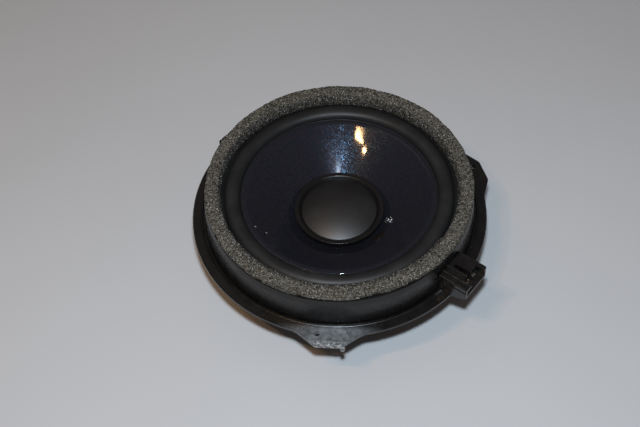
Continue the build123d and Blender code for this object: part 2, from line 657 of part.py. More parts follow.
nodes = {
    "basket": make_basket(),
    "back_plate": make_back_plate(),
    "pole_piece": make_pole_piece(),
    "magnet": make_magnet(),
    "magnet_adhesive_rear": tube(MAGNET_HOLE_R + 1, PLATE_R - 1, BACK_PLATE_T, BACK_PLATE_T + GLUE_T),
    "magnet_adhesive_front": tube(MAGNET_HOLE_R + 1, TOP_PLATE_R - 1, FLOOR_Z - TOP_PLATE_T - GLUE_T,
                                  FLOOR_Z - TOP_PLATE_T),
    "top_plate": make_top_plate(),
    "motor_screws": make_motor_screws(),
    "spider": make_spider(),
    "surround": make_surround(),
    "cone": make_cone(),
    "cap_ring": make_cap_ring(),
    "dust_cap": make_dust_cap(),
    "voice_coil_former": tube(*FORMER_R, *FORMER_Z),
    "voice_coil": tube(FORMER_R[1], COIL_R, *COIL_Z),
    "coil_lead_strips": make_coil_leads(),
    "neck_adhesive": make_neck_adhesive(),
    "lead_adhesive_dabs": make_lead_dabs(),
    "foam_bed": make_foam_bed(),
    "foam_gasket": make_foam_gasket(),
    "connector_housing": make_connector_housing(),
    "terminal_positive": make_terminal(BLADE_V[0]),
    "terminal_negative": make_terminal(BLADE_V[1]),
    "terminal_solder": make_terminal_solder(),
    "tinsel_lead_positive": make_tinsel_lead(BLADE_V[0], LEAD_ENDS[0]),
    "tinsel_lead_negative": make_tinsel_lead(BLADE_V[1], LEAD_ENDS[1]),
}

for node, shape in nodes.items():
    save(node, shape)
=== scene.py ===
"""Finished looks for a 165 mm class car door loudspeaker, built round its packed CAD frame."""

import itertools
import math

import bpy
import numpy as np
from bpy.props import FloatProperty, FloatVectorProperty, IntProperty, PointerProperty
from mathutils import Matrix, Vector


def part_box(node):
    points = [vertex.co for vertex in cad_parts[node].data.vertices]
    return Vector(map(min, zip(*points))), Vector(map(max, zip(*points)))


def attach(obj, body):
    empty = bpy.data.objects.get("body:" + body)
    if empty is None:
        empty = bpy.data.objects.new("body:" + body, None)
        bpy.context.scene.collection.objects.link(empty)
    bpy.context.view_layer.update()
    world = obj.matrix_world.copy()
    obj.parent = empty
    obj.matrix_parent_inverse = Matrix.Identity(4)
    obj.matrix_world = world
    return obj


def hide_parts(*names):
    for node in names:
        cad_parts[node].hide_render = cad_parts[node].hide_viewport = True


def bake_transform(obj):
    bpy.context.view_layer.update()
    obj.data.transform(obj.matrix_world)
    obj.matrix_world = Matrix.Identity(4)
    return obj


bl_info = {
    "name": "Door loudspeaker",
    "version": (1, 0, 0),
    "blender": (4, 5, 0),
    "location": "3D View > Sidebar > Speaker",
    "description": "Builds the foam, surround, cone, coil, leads and finishes of a car door loudspeaker",
    "category": "Object",
}

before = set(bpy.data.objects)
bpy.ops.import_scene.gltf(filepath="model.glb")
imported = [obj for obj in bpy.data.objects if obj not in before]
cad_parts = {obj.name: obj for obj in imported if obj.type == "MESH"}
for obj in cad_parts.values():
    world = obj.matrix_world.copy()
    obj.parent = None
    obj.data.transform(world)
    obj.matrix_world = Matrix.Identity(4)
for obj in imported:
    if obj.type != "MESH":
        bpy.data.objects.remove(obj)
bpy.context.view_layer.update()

MM = 0.001
BASKET = "basket"
DIAPHRAGM = "diaphragm"

# Outlines in millimetres as (radius, height), measured from the middle of the back plate's underside, each
# with the radius of every corner.
FOAM_OUTLINE = ((74.1, 55.65), (79.85, 55.65), (79.85, 60.15), (82.9, 60.15), (83.2, 64.4), (74.7, 64.6),
                (73.3, 59.0))
FOAM_RADII = (0.8, 0.4, 0.3, 0.5, 1.7, 2.2, 4.0)
CONE_OUTLINE = ((13.15, 27.6), (13.85, 27.6), (13.85, 29.2), (27.7, 35.97), (42.9, 46.3), (58.1, 55.5),
                (60.6, 55.5), (60.6, 56.2), (57.8, 56.2), (42.7, 47.1), (27.6, 36.8), (13.85, 30.0),
                (13.15, 30.0))
CONE_RADII = (0.1, 0.1, 0.5, 20.0, 400.0, 2.0, 0.34, 0.34, 2.2, 400.0, 20.0, 0.8, 0.1)
CAP_RING_OUTLINE = ((26.8, 36.45), (27.6, 36.85), (28.2, 40.9), (28.2, 41.6), (25.6, 41.4), (23.9, 39.4),
                    (23.9, 38.6), (22.4, 38.6), (22.4, 37.8), (26.8, 37.8))
CAP_RING_RADII = (0.1, 0.1, 1.5, 0.65, 0.9, 0.15, 0.1, 0.1, 0.2, 0.4)

# Spans in millimetres over which a change to the foam goes from none to full.
FOAM_FREE_Z = (60.15, 60.6)
FOAM_BORE_R = (74.6, 74.0)
FOAM_BORE_Z = (56.0, 57.0)
FOAM_RIM_R = (79.95, 82.6)
FOAM_THROAT_R = (78.0, 74.0)
FOAM_THROAT_Z = (56.0, 62.0)
FOAM_UNDERCUT_Z = (62.7, 62.3)
FOAM_SLOPE_R = (77.5, 82.0)
FOAM_SLOPE_Z = (62.0, 64.0)

# How far the foam is out of true, in metres, and the angles where: its outside leans one way and its bore
# another, the bore bulges in over one stretch, and the outside is nibbled here and there.
LEAN = 0.0008
LEAN_TURN = math.radians(80.0)
BORE_LEAN = 0.0015
BORE_SQUEEZE = 0.0006
BULGE = 0.0009
BULGE_FROM, BULGE_FULL, BULGE_END = (math.radians(degrees) for degrees in (-100.0, -60.0, -29.0))
NIBBLE = 0.0007
TEAR_TURN = 0.006
WORN_DROP = 0.0016

# Where painted highlight lies on the first lug, with scraping and more painted highlight at its tip, in
# metres from its middle line and across its length.
LUG_WIDTH = (0.034, 0.009)
LUG_HIGHLIGHT_Y = (-0.0856, -0.0890)
LUG_SCRAPED_LIT_Y = (-0.0962, -0.0985)

# Radii and heights of the surround and the spider in millimetres.
LIP_R = (58.4, 59.6, 60.6)
LIP_Z = (54.7, 55.5)
LIP_SINK = 0.02
ROLL_INNER_R = 61.2
ROLL_OUTER_R = 71.4
ROLL_TOP_Z = 60.2
ROLL_BOW = 0.86
LANDING_R = (77.0, 79.7)
SURROUND_Z = (54.5, 55.3)
SPIDER_R = (13.3, 18.0, 40.8, 45.8)
SPIDER_Z = 25.5
SPIDER_SKIN = (0.02, 0.48)

# The cap and the coil's bore in millimetres.
CAP_EDGE_R = 23.75
CAP_SEAT_Z = 38.65
CAP_THICKNESS = 0.8
COIL_BORE_R = 12.97

# The leads run from a blade to the cone as (distance out, height) in millimetres, along the socket's line.
# A strand is STRAND_SHARE of a lead's thickness and makes one turn in STRAND_LAY of them.
CONNECTOR_ANGLE = math.radians(-33.1)
BLADE_V = (-5.2, 2.3)
LEAD_ROUTE = ((73.9, 48.25), (69.0, 46.55), (62.5, 42.35), (56.0, 37.85), (48.5, 34.95), (40.8, 35.25),
              (34.2, 39.2))
LEAD_ENDS = ((34.2, -5.2), (30.5, 10.9))
STRAND_SHARE = 0.3
STRAND_LAY = 3.2

# Spots as (radius, angle in degrees, height): two chips in the foam and two specks of dust on the cone. The
# drips of adhesive are (radius, angle in degrees, half sizes).
CHIPS = ((83.6, -100.7, 62.6), (75.3, 138.0, 60.5))
SPECKS = ((56.5, -150.0, 55.4), (52.0, -144.0, 52.6))
DRIPS = ((32.6, -13.5, (3.0, 2.2, 2.0)), (33.0, -39.0, (2.6, 4.6, 0.9)))
DRIP_TOP_Z = 41.5
DRIP_LIFT = 0.35


# ---------- settings ----------

def length(name, text, default):
    """Length property in metres."""
    return FloatProperty(name=name, description=text, default=default, min=0.0, precision=5, unit="LENGTH")


def power(name, text, watts):
    """Power property."""
    return FloatProperty(name=name, description=text, default=watts, min=0.0, subtype="POWER")


def colour(name, text, default):
    """Linear colour property."""
    return FloatVectorProperty(name=name, description=text, default=default, size=3, min=0.0, max=1.0,
                               subtype="COLOR")


def angle(name, text, degrees):
    """Angle property, its default given in degrees."""
    return FloatProperty(name=name, description=text, default=math.radians(degrees), subtype="ANGLE")


class FoamSettings(bpy.types.PropertyGroup):
    """Foam sealing ring."""
    tint: colour("Foam colour", "Colour of the foam's struts", (0.178, 0.157, 0.119))
    # Painted shade: the colour painted deep in the open cells, where shade falls.
    painted_cell_shade: colour("Cell colour", "Colour deep inside the open cells", (0.016, 0.015, 0.0135))
    cell: length("Cell size", "Width of one open cell", 0.0011)
    cell_depth: length("Cell depth", "How deep an open cell goes", 0.00048)
    sag: length("Unevenness", "How far the cut surface wanders", 0.00028)
    flap_from: angle("Flap from", "Angle where the overhanging flap begins", -104.0)
    worn_from: angle("Worn from", "Angle where the flap ends and the torn edge begins", -77.5)
    worn_to: angle("Worn to", "Angle where the torn edge ends", -34.0)
    flap: length("Flap", "How far the flap hangs out", 0.0014)
    undercut: length("Undercut", "How far the foam is cut back under the flap", 0.0038)
    worn_depth: length("Wear depth", "How far the torn edge is eaten away", 0.0019)


class RubberSettings(bpy.types.PropertyGroup):
    """Surround and spider."""
    tint: colour("Rubber colour", "Colour of the surround", (0.0125, 0.0122, 0.0120))
    cloth: colour("Cloth colour", "Colour of the spider's resin-dipped cloth", (0.36, 0.2, 0.07))
    waves: IntProperty(name="Spider waves", description="Full waves across the spider", default=6, min=1)
    wave_height: length("Wave height", "How far each wave swings", 0.001)


class ConeSettings(bpy.types.PropertyGroup):
    """Cone, collar and cap."""
    tint: colour("Cone colour", "Body colour of the cone", (0.0190, 0.0130, 0.0155))
    fleck: colour("Fleck colour", "Colour of the mineral flecks in the cone", (0.0100, 0.0275, 0.0440))
    fleck_size: length("Fleck size", "Width of one fleck", 0.00042)
    cap: colour("Cap colour", "Colour of the matte cap", (0.0045, 0.0040, 0.0038))
    crown: length("Crown", "Height of the cap's dome over its edge", 0.0054)


class BasketSettings(bpy.types.PropertyGroup):
    """Frame and connector."""
    tint: colour("Basket colour", "Colour of the moulded frame", (0.0052, 0.0047, 0.0043))
    worn: colour("Worn colour", "Colour where edges are worn", (0.030, 0.028, 0.027))
    # Painted highlight: colour of the first lug where lamp light falls on it, painted as whitened plastic.
    lug_highlight: colour("Rubbed colour", "Colour of the whitened first lug", (0.20, 0.215, 0.225))
    grain: length("Grain size", "Width of the moulded grain", 0.00055)
    connector: colour("Connector colour", "Colour of the socket", (0.006, 0.0055, 0.0052))


class MotorSettings(bpy.types.PropertyGroup):
    """Magnet, plates, coil and leads."""
    steel: colour("Steel colour", "Plated steel of the plates", (0.56, 0.55, 0.52))
    ferrite: colour("Ferrite colour", "Ground faces of the magnet", (0.055, 0.056, 0.06))
    copper: colour("Copper colour", "Enamelled winding wire", (0.62, 0.2, 0.07))
    wire: length("Wire pitch", "Height of one turn of the winding", 0.00025)
    lead: length("Lead thickness", "Diameter of a tinsel lead", 0.0012)


class StageSettings(bpy.types.PropertyGroup):
    """Floor, lamps and camera."""
    floor: colour("Floor colour", "Colour of the plain floor", (0.60, 0.60, 0.60))
    low_room: colour("Low room colour", "Light that comes from near the horizon", (0.055, 0.045, 0.042))
    high_room: colour("High room colour", "Light that comes from overhead", (0.11, 0.095, 0.092))
    key: power("Key lamp", "Power of the lamp above the camera", 4.1)
    soft: power("Soft lamp", "Power of the large lamp overhead", 0.35)
    bulb: power("Bulbs", "Power of each of the two warm bulbs", 1.8)
    lens: FloatProperty(name="Lens", description="Focal length in millimetres on a 36 mm sensor",
                        default=65.99, min=1.0)


# ---------- surface arithmetic ----------

SIDE_SHARE = 0.48
ARC_TURN = 0.35


def rounded(corners, radii, step):
    """Closed outline with each corner turned into a tangent arc, divided no coarser than step.

    For unit directions a and b from a corner to its neighbours, with h half the angle between them, the arc
    leaves the sides at radius / tan(h) from the corner and its centre is radius / sin(h) along a + b. An arc
    takes up no more than SIDE_SHARE of a side, and each of its steps turns no more than ARC_TURN.
    """
    corners = np.asarray(corners, float)
    before = np.roll(corners, 1, axis=0) - corners
    after = np.roll(corners, -1, axis=0) - corners
    points = []
    for corner, to_before, to_after, radius in zip(corners, before, after, radii):
        a = to_before / np.linalg.norm(to_before)
        b = to_after / np.linalg.norm(to_after)
        half = math.acos(np.clip(a @ b, -1.0, 1.0)) / 2
        room = SIDE_SHARE * min(np.linalg.norm(to_before), np.linalg.norm(to_after))
        radius = min(radius, room * math.tan(half))
        if radius < 1e-6 or half > math.pi / 2 - 1e-4:
            points.append(corner[None])
            continue
        bisector = (a + b) / np.linalg.norm(a + b)
        centre = corner + bisector * radius / math.sin(half)
        start = corner + a * radius / math.tan(half) - centre
        sweep = math.pi - 2 * half
        turn = math.copysign(1.0, a[1] * b[0] - a[0] * b[1])
        count = max(3, math.ceil(sweep * radius / step) + 1, math.ceil(sweep / ARC_TURN) + 1)
        swing = turn * np.linspace(0.0, sweep, count)
        arc = np.stack([start[0] * np.cos(swing) - start[1] * np.sin(swing),
                        start[0] * np.sin(swing) + start[1] * np.cos(swing)], axis=1)
        points.append(centre + arc)
    outline = np.concatenate(points)
    sides = np.linalg.norm(np.roll(outline, -1, axis=0) - outline, axis=1)
    parts = np.maximum(1, np.ceil(sides / step).astype(int))
    start = np.repeat(outline, parts, axis=0)
    side = np.repeat(np.roll(outline, -1, axis=0) - outline, parts, axis=0)
    first = np.repeat(np.cumsum(parts) - parts, parts)
    along = (np.arange(parts.sum()) - first) / np.repeat(parts, parts)
    return start + side * along[:, None]


def spun(outline, turns):
    """Grid of an outline carried round Z: (r, z) at turn t becomes (r cos t, r sin t, z), in metres."""
    turn = np.linspace(0.0, 2 * math.pi, turns, endpoint=False)[:, None]
    radius, height = outline[None, :, 0] * MM, outline[None, :, 1] * MM
    return np.stack([radius * np.cos(turn), radius * np.sin(turn), height + 0 * turn], axis=2)


def outward(grid):
    """Unit normals of a closed grid, as the cross product of its two central differences."""
    round_way = np.roll(grid, -1, axis=0) - np.roll(grid, 1, axis=0)
    along_way = np.roll(grid, -1, axis=1) - np.roll(grid, 1, axis=1)
    normal = np.cross(round_way, along_way)
    return normal / np.maximum(np.linalg.norm(normal, axis=2, keepdims=True), 1e-12)


TABLE_ROWS = 4096
PRIMES = (73856093, 19349663, 83492791)


def table_row(cell):
    """Row of a random table for a lattice cell: its three numbers, each times a prime, joined by XOR."""
    x, y, z = (cell[..., axis] * prime for axis, prime in enumerate(PRIMES))
    return (x ^ y ^ z) & (TABLE_ROWS - 1)


def value_noise(points, size, seed):
    """Smooth noise from -1 to 1: random values on a cubic lattice, blended with weights 3t^2 - 2t^3."""
    table = np.random.default_rng(seed).uniform(-1.0, 1.0, TABLE_ROWS)
    q = points / size
    cell = np.floor(q).astype(np.int64)
    t = q - cell
    t = t * t * (3 - 2 * t)
    total = np.zeros(points.shape[:-1])
    for corner in np.ndindex(2, 2, 2):
        weight = np.prod(np.where(np.array(corner) == 1, t, 1 - t), axis=-1)
        total += table[table_row(cell + corner)] * weight
    return total


def cell_distance(points, size, seed):
    """Distance to the nearest of one random point per lattice cell, as a share of the cell size."""
    table = np.random.default_rng(seed).uniform(0.0, 1.0, (TABLE_ROWS, 3))
    q = points / size
    cell = np.floor(q).astype(np.int64)
    nearest = np.full(points.shape[:-1], np.inf)
    for offset in np.ndindex(3, 3, 3):
        beside = cell + np.array(offset) - 1
        nearest = np.minimum(nearest, np.linalg.norm(beside + table[table_row(beside)] - q, axis=-1))
    return nearest


def ease(x, low, high):
    """0 below low, 1 above high, and 3t^2 - 2t^3 between."""
    t = np.clip((x - low) / (high - low), 0.0, 1.0)
    return t * t * (3 - 2 * t)


def ease_over(x, span):
    """Ease across a span given in millimetres."""
    return ease(x, span[0] * MM, span[1] * MM)


# ---------- meshes ----------

TURNED_OVER = [0, 3, 2, 1]


def grid_faces(rows, columns, open_rows=0, open_columns=0):
    """Quads of a grid that closes on itself both ways, facing outwards for an anticlockwise outline.

    The quads that would close it are left off where it has an open row or column.
    """
    i, j = np.meshgrid(np.arange(rows), np.arange(columns), indexing="ij")
    here = i * columns + j
    round_on = (i + 1) % rows * columns + j
    both_on = (i + 1) % rows * columns + (j + 1) % columns
    along_on = i * columns + (j + 1) % columns
    quads = np.stack([here, round_on, both_on, along_on], axis=-1)
    return quads[:rows - open_rows, :columns - open_columns].reshape(-1, 4)


def fan(rim, pole):
    """Triangles between a pole and each side of a closed rim of vertex numbers."""
    return np.stack([rim, np.full(len(rim), pole), np.roll(rim, -1)], axis=1)


def new_object(name, points, quads, triangles=None):
    """Object at the origin from whole arrays of points, quads and triangles."""
    triangles = np.zeros((0, 3), int) if triangles is None else triangles
    loops = np.concatenate([quads.ravel(), triangles.ravel()]).astype(np.int32)
    totals = np.concatenate([np.full(len(quads), 4), np.full(len(triangles), 3)])
    starts = np.concatenate([[0], np.cumsum(totals)[:-1]])
    mesh = bpy.data.meshes.new(name)
    mesh.vertices.add(len(points))
    mesh.vertices.foreach_set("co", np.ascontiguousarray(points, np.float32).ravel())
    mesh.loops.add(len(loops))
    mesh.loops.foreach_set("vertex_index", loops)
    mesh.polygons.add(len(totals))
    mesh.polygons.foreach_set("loop_start", starts.astype(np.int32))
    mesh.polygons.foreach_set("use_smooth", np.ones(len(totals), bool))
    mesh.update(calc_edges=True)
    mesh.validate()
    made = bpy.data.objects.new(name, mesh)
    bpy.context.scene.collection.objects.link(made)
    return made


def ring_object(name, grid):
    """Object from a grid that closes both ways."""
    return new_object(name, grid.reshape(-1, 3), grid_faces(*grid.shape[:2]))


def dome_object(name, outline, turns):
    """Object from an outline that starts and ends on the axis, in a fan of triangles round each pole."""
    ring = spun(outline[1:-1], turns)
    rows, columns = ring.shape[:2]
    poles = [(0.0, 0.0, outline[0, 1] * MM), (0.0, 0.0, outline[-1, 1] * MM)]
    rim = np.arange(rows) * columns
    fans = np.concatenate([fan(rim, rows * columns), fan(rim + columns - 1, rows * columns + 1)[:, ::-1]])
    return new_object(name, np.concatenate([ring.reshape(-1, 3), poles]),
                      grid_faces(rows, columns, open_columns=1), fans)


def tube_grid(path, side, radius, sides):
    """Open tube round a path: p becomes p + r (cos a n + sin a s), with s constant and n = s x tangent."""
    tangent = np.gradient(path, axis=0)
    tangent /= np.linalg.norm(tangent, axis=1, keepdims=True)
    normal = np.cross(np.broadcast_to(side, path.shape), tangent)
    normal /= np.linalg.norm(normal, axis=1, keepdims=True)
    across = np.cross(tangent, normal)
    turn = np.linspace(0.0, 2 * math.pi, sides, endpoint=False)
    return (path[:, None] + radius * (np.cos(turn)[None, :, None] * normal[:, None]
                                      + np.sin(turn)[None, :, None] * across[:, None]))


def strand_arrays(grid, first_index):
    """Points, quads and triangles of an open tube grid, with each end capped by a fan round its middle."""
    rows, sides = grid.shape[:2]
    points = np.concatenate([grid.reshape(-1, 3), grid[:1].mean(axis=1), grid[-1:].mean(axis=1)])
    quads = grid_faces(rows, sides, open_rows=1)[:, TURNED_OVER]
    rim = np.arange(sides)
    caps = np.concatenate([fan(rim, rows * sides), fan(rim + (rows - 1) * sides, rows * sides + 1)[:, ::-1]])
    return points, quads + first_index, caps + first_index


# ---------- shader helpers ----------

class Tree:
    """Short way to add and join nodes in one node tree."""

    def __init__(self, tree):
        """Keep the tree that the nodes go into."""
        self.tree = tree

    def add(self, kind, inputs=None, **settings):
        """New node with its settings, then each input set to a value or joined to a socket."""
        node = self.tree.nodes.new(kind)
        for key, value in settings.items():
            setattr(node, key, value)
        for key, value in (inputs or {}).items():
            self.put(node.inputs[key], value)
        return node

    def put(self, socket, value):
        """Join a socket to another one or set its value, where a colour gets an alpha of 1."""
        if isinstance(value, bpy.types.NodeSocket):
            self.tree.links.new(value, socket)
        elif socket.type == "RGBA":
            socket.default_value = (*value[:3], 1.0)
        else:
            socket.default_value = value

    def math(self, operation, a, b=0.0, c=0.0, clamp=False):
        """Result of one Math node."""
        return self.add("ShaderNodeMath", {0: a, 1: b, 2: c}, operation=operation, use_clamp=clamp).outputs[0]

    def vector(self, operation, a, b):
        """Result of one Vector Math node on two vectors."""
        return self.add("ShaderNodeVectorMath", {0: a, 1: b}, operation=operation).outputs[0]

    def scaled(self, vector, amount):
        """Colour or vector times a number."""
        return self.add("ShaderNodeVectorMath", {0: vector, "Scale": amount}, operation="SCALE").outputs[0]

    def split(self, vector):
        """The X, Y and Z sockets of a vector."""
        return self.add("ShaderNodeSeparateXYZ", {0: vector}).outputs

    def remap(self, value, low, high, to_low=0.0, to_high=1.0):
        """Value carried from one range to another, and held inside it."""
        return self.add("ShaderNodeMapRange", {"Value": value, "From Min": low, "From Max": high,
                                               "To Min": to_low, "To Max": to_high}).outputs[0]

    def mix(self, mask, a, b):
        """Colour a where the mask is 0 and b where it is 1."""
        return self.add("ShaderNodeMix", {0: mask, 6: a, 7: b}, data_type="RGBA").outputs[2]

    def noise(self, vector, size, detail=2.0, roughness=0.5):
        """Noise whose features are about size metres wide."""
        return self.add("ShaderNodeTexNoise", {"Vector": vector, "Scale": 1.0 / size, "Detail": detail,
                                               "Roughness": roughness}).outputs["Fac"]

    def cells(self, vector, scale):
        """Sockets of a Voronoi pattern: the distance in each cell and its random colour."""
        return self.add("ShaderNodeTexVoronoi", {"Vector": vector, "Scale": scale}, feature="F1").outputs


def new_group(name, inputs, outputs):
    """Empty node group with its named sockets, its tree helper, and its input and output nodes."""
    group = bpy.data.node_groups.new(name, "ShaderNodeTree")
    for socket, kind in inputs:
        group.interface.new_socket(name=socket, in_out="INPUT", socket_type=kind)
    for socket, kind in outputs:
        group.interface.new_socket(name=socket, in_out="OUTPUT", socket_type=kind)
    tree = Tree(group)
    return group, tree, tree.add("NodeGroupInput").outputs, tree.add("NodeGroupOutput").inputs


def grain_group():
    """Moulded grain: fine noise over coarser noise, as a height and a speckle mask."""
    group, tree, given, out = new_group("Moulded grain",
                                        [("Vector", "NodeSocketVector"), ("Scale", "NodeSocketFloat")],
                                        [("Height", "NodeSocketFloat"), ("Speckle", "NodeSocketFloat")])
    fine = tree.add("ShaderNodeTexNoise", {"Vector": given["Vector"], "Scale": given["Scale"],
                                           "Detail": 3.0}).outputs["Fac"]
    scale = tree.math("MULTIPLY", given["Scale"], 0.22)
    coarse = tree.add("ShaderNodeTexNoise", {"Vector": given["Vector"], "Scale": scale,
                                             "Detail": 1.0}).outputs["Fac"]
    tree.put(out["Height"], tree.math("MULTIPLY_ADD", coarse, 0.45, fine))
    tree.put(out["Speckle"], tree.remap(fine, 0.6, 0.74))
    return group


def wear_group():
    """Edge wear: how far a bevelled normal turns from the true one, broken up by noise, as a mask."""
    group, tree, given, out = new_group("Edge wear",
                                        [("Vector", "NodeSocketVector"), ("Width", "NodeSocketFloat"),
                                         ("Amount", "NodeSocketFloat")],
                                        [("Mask", "NodeSocketFloat")])
    bevel = tree.add("ShaderNodeBevel", {"Radius": given["Width"]}, samples=6)
    normal = tree.add("ShaderNodeNewGeometry").outputs["Normal"]
    dot = tree.add("ShaderNodeVectorMath", {0: bevel.outputs[0], 1: normal}, operation="DOT_PRODUCT")
    turned = tree.remap(dot.outputs["Value"], 0.985, 0.80)
    broken = tree.remap(tree.noise(given["Vector"], 0.0035, 4.0, 0.65), 0.38, 0.62)
    mask = tree.math("MULTIPLY", turned, broken)
    tree.put(out["Mask"], tree.math("MULTIPLY", mask, given["Amount"], clamp=True))
    return group


def dust_group():
    """Settled dust: upward faces, patchy at two sizes, with sparse specks, as a mask."""
    group, tree, given, out = new_group("Settled dust",
                                        [("Vector", "NodeSocketVector"), ("Amount", "NodeSocketFloat")],
                                        [("Mask", "NodeSocketFloat")])
    normal = tree.add("ShaderNodeNewGeometry").outputs["Normal"]
    up = tree.remap(tree.split(normal)["Z"], 0.1, 0.95)
    patches = tree.remap(tree.noise(given["Vector"], 0.016, 5.0, 0.6), 0.42, 0.72)
    specks = tree.remap(tree.noise(given["Vector"], 0.0007, 1.0), 0.74, 0.8)
    mask = tree.math("MULTIPLY", tree.math("MULTIPLY_ADD", patches, 0.35, specks), up)
    tree.put(out["Mask"], tree.math("MULTIPLY", mask, given["Amount"], clamp=True))
    return group


GROUP_MAKERS = {"Moulded grain": grain_group, "Edge wear": wear_group, "Settled dust": dust_group}


def group_node(tree, name, inputs):
    """Node that uses a shared group, which is built the first time."""
    group = bpy.data.node_groups.get(name) or GROUP_MAKERS[name]()
    return tree.add("ShaderNodeGroup", inputs, node_tree=group).outputs


def new_material(name):
    """Material with one Principled shader: its tree helper, the shader and Object coordinates."""
    material = bpy.data.materials.new(name)
    material.use_nodes = True
    tree = Tree(material.node_tree)
    shader = material.node_tree.nodes["Principled BSDF"]
    place = tree.add("ShaderNodeTexCoord").outputs["Object"]
    return material, tree, shader, place


def join(tree, shader, **sockets):
    """Join or set several of a shader's sockets, where a name's underscores stand for spaces."""
    for key, value in sockets.items():
        tree.put(shader.inputs[key.replace("_", " ")], value)


def bump(tree, height, distance, strength):
    """Normal from a height map whose full swing is distance metres."""
    return tree.add("ShaderNodeBump", {"Height": height, "Distance": distance,
                                       "Strength": strength}).outputs[0]


def tilted_normal(tree, random_colour, amount, normal=None):
    """Normal turned by a random colour less its middle value, so that each cell faces its own way."""
    if normal is None:
        normal = tree.add("ShaderNodeNewGeometry").outputs["Normal"]
    tilt = tree.scaled(tree.vector("SUBTRACT", random_colour, (0.5, 0.5, 0.5)), amount)
    tilted = tree.vector("ADD", tilt, normal)
    return tree.add("ShaderNodeVectorMath", {0: tilted}, operation="NORMALIZE").outputs[0]


def spot_mask(tree, place, spot, radius):
    """Mask of a ball round a point given as radius, angle in degrees and height in millimetres."""
    reach, degrees, height = spot
    turn = math.radians(degrees)
    centre = (reach * MM * math.cos(turn), reach * MM * math.sin(turn), height * MM)
    away = tree.add("ShaderNodeVectorMath", {0: place, 1: centre}, operation="DISTANCE").outputs["Value"]
    return tree.remap(away, radius, 0.7 * radius)


# ---------- materials ----------

def foam_material(settings):
    """Open-cell foam: pale struts, painted shade in the cells at two sizes and in the bore, painted glints,
    and skins that glint.
    """
    material, tree, shader, place = new_material("Grey foam")
    cells = tree.cells(place, 1.0 / settings.cell)
    # Painted shade: each cell is painted darker towards its hollow, besides being sunk into the surface.
    small = tree.cells(place, 2.3 / settings.cell)
    depth = tree.math("MULTIPLY", tree.remap(cells["Distance"], 0.1, 0.75),
                      tree.remap(small["Distance"], 0.05, 0.7, 0.55, 1.0))
    patchy = tree.remap(tree.noise(place, 0.009, 3.0), 0.3, 0.7, 0.82, 1.12)
    tint = tree.scaled(tree.mix(depth, settings.painted_cell_shade, settings.tint), patchy)
    # Painted glints: a few small cells are painted near white, as highlights of their skins.
    random_share = tree.add("ShaderNodeSeparateColor", {0: small["Color"]}).outputs[0]
    glint = tree.math("MULTIPLY", tree.remap(random_share, 0.86, 0.93),
                      tree.remap(small["Distance"], 0.5, 0.25))
    # Painted shade: the colour falls to half inside the bore, where the ring shades its own inner wall.
    parts = tree.split(place)
    reach = tree.math("SQRT", tree.math("ADD", tree.math("POWER", parts["X"], 2.0),
                                        tree.math("POWER", parts["Y"], 2.0)))
    tint = tree.scaled(tint, tree.remap(reach, 0.0758, 0.0742, 1.0, 0.5))
    tint = tree.mix(glint, tint, (0.75, 0.74, 0.70))
    for spot in CHIPS:
        tint = tree.mix(spot_mask(tree, place, spot, 0.0011), tint, (0.8, 0.8, 0.78))
    height = tree.math("ADD", depth, tree.noise(place, 0.0004, 2.0))
    skins = tree.cells(place, 1.0 / 0.0008)
    rough = tree.remap(skins["Distance"], 0.5, 0.35, 0.9, 0.3)
    surface = tilted_normal(tree, skins["Color"], 1.5, bump(tree, height, 0.0005, 0.9))
    join(tree, shader, Base_Color=tint, Roughness=rough, Specular_IOR_Level=0.5, Normal=surface)
    return material


def rubber_material(settings):
    """Soft matte rubber with faint mould lines, finger marks and a little dust."""
    material, tree, shader, place = new_material("Surround rubber")
    grain = group_node(tree, "Moulded grain", {"Vector": place, "Scale": 1900.0})
    dust = group_node(tree, "Settled dust", {"Vector": place, "Amount": 0.16})
    marks = tree.remap(tree.noise(place, 0.02, 3.0), 0.3, 0.75, 0.40, 0.52)
    tint = tree.mix(dust["Mask"], settings.tint, (0.2, 0.19, 0.175))
    join(tree, shader, Base_Color=tint, Roughness=marks, Specular_IOR_Level=0.33,
         Normal=bump(tree, grain["Height"], 0.00004, 0.5))
    return material


def cloth_material(settings):
    """Resin-dipped cloth: warp and weft as two crossed waves, darker where the resin pools."""
    material, tree, shader, place = new_material("Spider cloth")
    warp = tree.add("ShaderNodeTexWave", {"Vector": place, "Scale": 320.0}, bands_direction="X")
    weft = tree.add("ShaderNodeTexWave", {"Vector": place, "Scale": 320.0}, bands_direction="Y")
    weave = tree.math("MULTIPLY", warp.outputs["Fac"], weft.outputs["Fac"])
    pooled = tree.remap(tree.noise(place, 0.008, 3.0), 0.35, 0.65, 0.0, 0.4)
    tint = tree.mix(tree.math("ADD", tree.math("MULTIPLY", weave, 0.5), pooled), settings.cloth,
                    (0.12, 0.055, 0.018))
    join(tree, shader, Base_Color=tint, Roughness=0.62, Normal=bump(tree, weave, 0.0001, 0.8))
    return material


def cone_material(settings):
    """Glossy moulded cone: metallic flecks, each tilted its own way, in near-black under a clear skin."""
    material, tree, shader, place = new_material("Flecked cone")
    flecks = tree.cells(place, 1.0 / settings.fleck_size)
    clump = tree.remap(tree.noise(place, 0.0016, 2.0), 0.35, 0.7, 0.35, 1.0)
    random_share = tree.add("ShaderNodeSeparateColor", {0: flecks["Color"]}).outputs[0]
    shine = tree.math("MULTIPLY", tree.remap(random_share, 0.1, 0.95, 0.1, 1.0), clump)
    tint = tree.mix(shine, settings.tint, settings.fleck)
    for spot in SPECKS:
        tint = tree.mix(spot_mask(tree, place, spot, 0.0007), tint, (0.35, 0.35, 0.35))
    smudge = tree.remap(tree.noise(place, 0.03, 2.0), 0.3, 0.7, 0.24, 0.27)
    join(tree, shader, Base_Color=tint, Metallic=shine, Roughness=smudge, Specular_IOR_Level=0.0,
         Normal=tilted_normal(tree, flecks["Color"], 0.16), Coat_Weight=1.0, Coat_Roughness=0.06,
         Coat_IOR=1.5)
    return material


